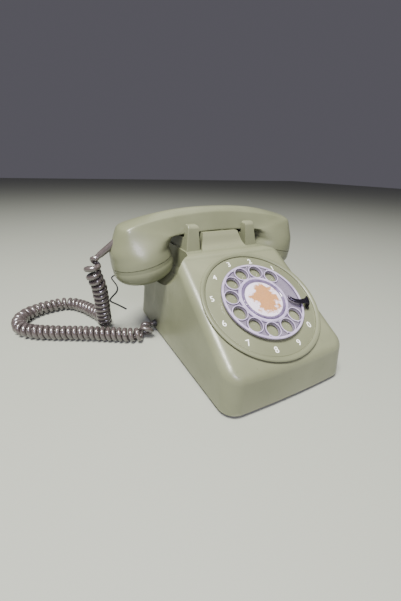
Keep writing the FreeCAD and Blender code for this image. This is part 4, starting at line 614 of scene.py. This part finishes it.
def spinProfile(name, corners, steps):
    # A closed profile, given in mm, drawn corner by corner and spun once round the upright axis
    deselectAll()
    bpy.ops.mesh.primitive_plane_add(size=0.001, location=(0, 0, 0))
    piece = bpy.context.object
    piece.name = name
    bpy.ops.object.mode_set(mode="EDIT")
    bpy.ops.mesh.select_all(action="SELECT")
    bpy.ops.mesh.merge(type="CENTER")
    bpy.ops.transform.translate(value=(mm(corners[0][0]), 0, mm(corners[0][1])))
    for before, after in zip(corners, corners[1:] + corners[:1]):
        move = (mm(after[0] - before[0]), 0, mm(after[1] - before[1]))
        bpy.ops.mesh.extrude_region_move(TRANSFORM_OT_translate={"value": move})
    bpy.ops.mesh.select_all(action="SELECT")
    bpy.ops.mesh.remove_doubles(threshold=joinWithin["profile"])
    bpy.ops.mesh.select_all(action="SELECT")
    bpy.ops.mesh.spin(steps=steps, angle=2 * math.pi, center=(0, 0, 0), axis=(0, 0, 1))
    bpy.ops.mesh.select_all(action="SELECT")
    bpy.ops.mesh.remove_doubles(threshold=joinWithin["spun"])
    bpy.ops.mesh.normals_make_consistent(inside=False)
    bpy.ops.object.mode_set(mode="OBJECT")
    return piece


def applyModifier(piece, kind, settings):
    modifier = piece.modifiers.new(kind.lower(), kind)
    for key, value in settings.items():
        setattr(modifier, key, value)
    selectOnly(piece)
    bpy.ops.object.modifier_apply(modifier=modifier.name)


def bevelPiece(piece, width, segments, degrees):
    applyModifier(piece, "BEVEL", {
        "width": width, "segments": segments, "limit_method": "ANGLE", "angle_limit": math.radians(degrees)})


def smoothPiece(piece, degrees):
    selectOnly(piece)
    bpy.ops.object.shade_smooth_by_angle(angle=math.radians(degrees))


def dressPiece(piece, finish, body, slot, *nodes):
    piece.data.materials.clear()
    piece.data.materials.append(finishes[finish])
    if nodes:
        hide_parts(*nodes)
    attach(piece, body)


def copyPiece(piece, name):
    twin = piece.copy()
    twin.data = piece.data.copy()
    twin.name = name
    bpy.context.collection.objects.link(twin)
    return twin


# The number plate: a flat face, a groove, and a rounded rim that stands off the housing
plateSet = {
    "bore": 4.0, "neck": 53.8, "face": 1.4, "gap": 1.2, "edge": 56.5, "top": 3.3,
    "footSoft": (0.4, 0.5),     # across and up, as for the next two
    "browSoft": (0.9, 0.8),
    "fall": (0.5, 0.9),
    "crown": 2.6,               # from the edge to where the rim's flat top ends
    "groove": 51.6, "grooveDeep": 1.0, "grooveWall": 0.4, "faceSlope": 0.1,
    "steps": 160, "bevel": (0.00045, 3, 25), "smooth": 35,
}


def makeNumberPlate(s):
    profile = [
        (s["bore"], 0.0), (s["neck"], 0.0), (s["neck"], s["gap"]), (s["edge"] - s["footSoft"][0], s["gap"]),
        (s["edge"], s["gap"] + s["footSoft"][1]), (s["edge"], s["top"] - s["browSoft"][1]),
        (s["edge"] - s["browSoft"][0], s["top"]), (s["edge"] - s["crown"], s["top"]),
        (s["groove"] + s["fall"][0], s["top"] - s["fall"][1]),
        (s["groove"] + s["grooveWall"], s["grooveDeep"]), (s["groove"], s["grooveDeep"]),
        (s["groove"] - s["faceSlope"], s["face"]), (s["bore"], s["face"]),
    ]
    piece = spinProfile("numberPlate", profile, s["steps"])
    bevelPiece(piece, *s["bevel"])
    smoothPiece(piece, s["smooth"])
    seatInDial(piece, dialSet)
    dressPiece(piece, "shellAbs", "base", "shell_plastic", "number_plate")
    print("number plate turned")


# The finger wheel: a clear disc with a raised edge, a ring round the card and a collar at each hole
wheelSet = {
    "bore": 4.2, "low": 3.0, "radius": 38.8, "web": 4.6, "edgeTop": 5.9, "edgeIn": 36.9, "edgeSoft": 0.6,
    "fall": 0.9,                # from the edge and from the ring down to the web
    "ringOut": 23.4, "ringTop": 6.4, "ringIn": 20.75, "seat": 5.0, "ringSoft": (0.7, 0.8), "lipSoft": 0.5,
    "circle": 30.0, "hole": 5.6, "mouth": 6.5, "straight": 0.6, "overTop": 0.01, "past": 1,
    "collar": 7.65, "collarTop": 5.8, "collarIn": 0.8, "collarLow": 0.5, "collarWall": 0.2, "collarSoft": 0.6,
    "first": 45.0, "step": 30.0, "count": 10, "steps": 144, "holeSteps": 40, "weld": 0.00001, "smooth": 32,
}


def makeFingerWheel(s):
    soft = s["edgeSoft"]
    disc = spinProfile("fingerWheel", [
        (s["bore"], s["low"]), (s["radius"] - soft, s["low"]), (s["radius"], s["low"] + soft),
        (s["radius"], s["edgeTop"] - soft), (s["radius"] - soft, s["edgeTop"]), (s["edgeIn"], s["edgeTop"]),
        (s["edgeIn"] - s["fall"], s["web"]), (s["ringOut"] + s["fall"], s["web"]),
        (s["ringOut"], s["ringTop"] - s["ringSoft"][1]), (s["ringOut"] - s["ringSoft"][0], s["ringTop"]),
        (s["ringIn"] + s["lipSoft"], s["ringTop"]), (s["ringIn"], s["ringTop"] - s["lipSoft"]),
        (s["ringIn"], s["seat"]), (s["bore"], s["seat"])], s["steps"])
    collarIn, collarLow = s["hole"] - s["collarIn"], s["low"] + s["collarLow"]
    collar = spinProfile("collar", [
        (collarIn, collarLow), (s["collar"], collarLow), (s["collar"], s["web"] + s["collarWall"]),
        (s["collar"] - s["collarSoft"], s["collarTop"]), (collarIn, s["collarTop"])], s["holeSteps"])
    cutLow, cutTop = s["low"] - s["past"], s["collarTop"] + s["past"]
    cutter = spinProfile("cutter", [
        (0.0, cutLow), (s["hole"], cutLow), (s["hole"], s["low"] + s["straight"]),
        (s["mouth"], s["collarTop"] + s["overTop"]), (s["mouth"], cutTop), (0.0, cutTop)], s["holeSteps"])
    for tool, work in ((collar, "UNION"), (cutter, "DIFFERENCE")):
        tools = []
        for k in range(s["count"]):
            turn = math.radians(s["first"] + s["step"] * k)
            twin = copyPiece(tool, tool.name + str(k))
            twin.location = (mm(s["circle"]) * math.cos(turn), mm(s["circle"]) * math.sin(turn), 0)
            tools.append(twin)
        deselectAll()
        for twin in tools:
            twin.select_set(True)
        bpy.context.view_layer.objects.active = tools[0]
        bpy.ops.object.transform_apply(location=True, rotation=True, scale=True)
        bpy.ops.object.join()
        applyModifier(disc, "BOOLEAN", {"operation": work, "object": tools[0], "solver": "EXACT"})
        bpy.data.objects.remove(tools[0])
        bpy.data.objects.remove(tool)
    applyModifier(disc, "WELD", {"merge_threshold": s["weld"]})
    smoothPiece(disc, s["smooth"])
    seatInDial(disc, dialSet)
    dressPiece(disc, "acrylic", "dial", "clear_plastic", "finger_wheel")
    print("finger wheel moulded")


# The clear cover that holds the card, with a bead round its edge
coverSet = {
    "low": 5.02, "card": 5.35, "edge": 20.55, "seat": 19.2, "top": 6.1, "crown": 0.25,
    "bead": 18.2, "beadTop": 6.7, "beadSoft": (0.5, 0.6), "beadFall": 0.9,
    "steps": 128, "bevel": (0.0002, 2, 25), "smooth": 35,
}


def makeCardCover(s):
    piece = spinProfile("cardCover", [
        (0.0, s["card"]), (s["seat"], s["card"]), (s["seat"], s["low"]), (s["edge"], s["low"]),
        (s["edge"], s["beadTop"] - s["beadSoft"][1]), (s["edge"] - s["beadSoft"][0], s["beadTop"]),
        (s["bead"] + s["beadFall"], s["beadTop"]), (s["bead"], s["top"]), (0.0, s["top"] + s["crown"])],
        s["steps"])
    bevelPiece(piece, *s["bevel"])
    smoothPiece(piece, s["smooth"])
    seatInDial(piece, dialSet)
    dressPiece(piece, "cover", "dial", "clear_plastic", "card_retainer")
    print("card cover moulded")


# The finger stop: a strip bent up from the plate, waisted and hooked in over the wheel
stopSet = {
    "angle": -18.0, "thick": 0.0026,
    # out from the centre, to the side, up from the housing's face, width: all in mm
    "rows": [
        (43.8, -0.4, 2.4, 11.0), (43.7, -0.2, 5.2, 8.4), (43.6, 0.8, 7.8, 9.6), (42.2, 1.0, 9.2, 10.0),
        (40.4, -0.4, 9.6, 6.6), (37.6, -1.5, 9.4, 5.6), (34.0, -2.2, 9.2, 5.0), (30.0, -2.0, 9.0, 4.6),
        (26.8, -0.8, 8.8, 4.4), (24.2, 0.9, 8.7, 4.2), (22.4, 2.6, 8.6, 2.8)],
    "footOut": 3.6, "softness": 2, "smooth": 50,
}


def makeFingerStop(s):
    # The strip's cross line is extruded row by row, then gets its thickness and soft edges
    rows = [(s["rows"][0][0] + s["footOut"], 0.0, s["rows"][0][2], s["rows"][0][3])] + s["rows"]
    deselectAll()
    bpy.ops.mesh.primitive_plane_add(size=mm(rows[0][3]), location=(mm(rows[0][0]), 0, mm(rows[0][2])))
    piece = bpy.context.object
    piece.name = "fingerStop"
    bpy.ops.object.transform_apply(location=True, rotation=True, scale=True)
    bpy.ops.object.mode_set(mode="EDIT")
    mesh = bmesh.from_edit_mesh(piece.data)
    for vertex in mesh.verts:
        vertex.select_set(vertex.co.x > mm(rows[0][0]))
    mesh.select_flush(True)
    mesh.select_flush(False)
    bpy.ops.mesh.delete(type="VERT")
    bpy.ops.mesh.select_all(action="SELECT")
    bpy.ops.transform.translate(value=(mm(rows[0][3] / 2), 0, 0))
    for before, after in zip(rows, rows[1:]):
        move = [mm(after[k] - before[k]) for k in range(3)]
        bpy.ops.mesh.extrude_region_move(TRANSFORM_OT_translate={"value": move})
        middle = [mm(value) for value in after[:3]]
        bpy.ops.transform.resize(value=(1, after[3] / before[3], 1), center_override=middle)
    bpy.ops.object.mode_set(mode="OBJECT")
    applyModifier(piece, "SOLIDIFY", {"thickness": s["thick"], "offset": 0.0})
    applyModifier(piece, "SUBSURF", {"levels": s["softness"], "render_levels": s["softness"]})
    selectOnly(piece)
    bpy.ops.object.mode_set(mode="EDIT")
    bpy.ops.mesh.select_all(action="SELECT")
    bpy.ops.mesh.normals_make_consistent(inside=False)
    bpy.ops.object.mode_set(mode="OBJECT")
    piece.rotation_euler = (0, 0, math.radians(s["angle"]))
    bpy.ops.object.transform_apply(location=True, rotation=True, scale=True)
    smoothPiece(piece, s["smooth"])
    seatInDial(piece, dialSet)
    dressPiece(piece, "stopSteel", "base", "dark_metal", "finger_stop")
    print("finger stop bent")


makeNumberPlate(plateSet)
makeFingerWheel(wheelSet)
makeCardCover(coverSet)
makeFingerStop(stopSet)


# Numerals round the finger wheel, printed on the number plate
numeralSet = {
    "digits": "1234567890",
    "face": 0.0014,
    "circle": 0.0462,
    "size": 0.0076,
    "bold": 0.00004,
    "ink": 0.00008,
    "first": 45.0,
    "step": 30.0,
}


def makeNumerals(s):
    for k, digit in enumerate(s["digits"]):
        turn = math.radians(s["first"] + s["step"] * k)
        deselectAll()
        bpy.ops.object.text_add(location=(0, 0, 0))
        piece = bpy.context.object
        piece.name = "numeral_" + digit
        piece.data.body = digit
        piece.data.size = s["size"]
        piece.data.offset = s["bold"]
        piece.data.align_x = "CENTER"
        piece.data.align_y = "CENTER"
        piece.data.extrude = s["ink"] / 2
        bpy.ops.object.convert(target="MESH")
        piece = bpy.context.object
        middle = s["face"] + s["ink"] / 2
        piece.location = (s["circle"] * math.cos(turn), s["circle"] * math.sin(turn), middle)
        bpy.ops.object.transform_apply(location=True, rotation=True, scale=True)
        seatInDial(piece, dialSet)
        dressPiece(piece, "ink", "base", "paper")
    print("numerals printed,", len(s["digits"]))


makeNumerals(numeralSet)


# Plain floor and soft light
studioSet = {
    "floor": "#989B90",
    "floorSize": 8.0,
    "floorRough": 0.7,
    "world": "#DCD8EA",
    "worldStrength": 0.14,
    # name, place, what it points at, size, power and colour
    "lamps": [
        ("keyLight", (-0.40, -0.26, 1.20), (-0.02, -0.03, 0.06), 0.40, 44.0, "#FFFEF8"),
        ("windowLight", (-0.30, -0.90, 0.80), (-0.05, 0.0, 0.08), 0.28, 9.0, "#ECE6FF"),
        ("ceilingLight", (0.4, 0.6, 1.3), (0.0, 0.0, 0.05), 0.9, 2.0, "#FFFFFF"),
    ],
}


def makeStudio(s):
    deselectAll()
    bpy.ops.mesh.primitive_plane_add(size=s["floorSize"], location=(0, 0, 0))
    floor = bpy.context.object
    floor.name = "floor"
    material, tree = startMaterial("paleFloorPaper")[:2]
    floor.data.materials.append(endMaterial(material, tree, {
        "Base Color": linearColour(s["floor"]), "Roughness": s["floorRough"]}))
    world = bpy.data.worlds.new("studioWorld")
    bpy.context.scene.world = world
    world.use_nodes = True
    sky = world.node_tree.nodes["Background"]
    sky.inputs["Color"].default_value = linearColour(s["world"])
    sky.inputs["Strength"].default_value = s["worldStrength"]
    for name, place, target, size, power, colour in s["lamps"]:
        data = bpy.data.lights.new(name, "AREA")
        data.size = size
        data.energy = power
        data.color = linearColour(colour)[:3]
        lamp = bpy.data.objects.new(name, data)
        bpy.context.collection.objects.link(lamp)
        lamp.location = place
        lamp.rotation_euler = (Vector(target) - Vector(place)).to_track_quat("-Z", "Y").to_euler()
    print("studio lit")


makeStudio(studioSet)
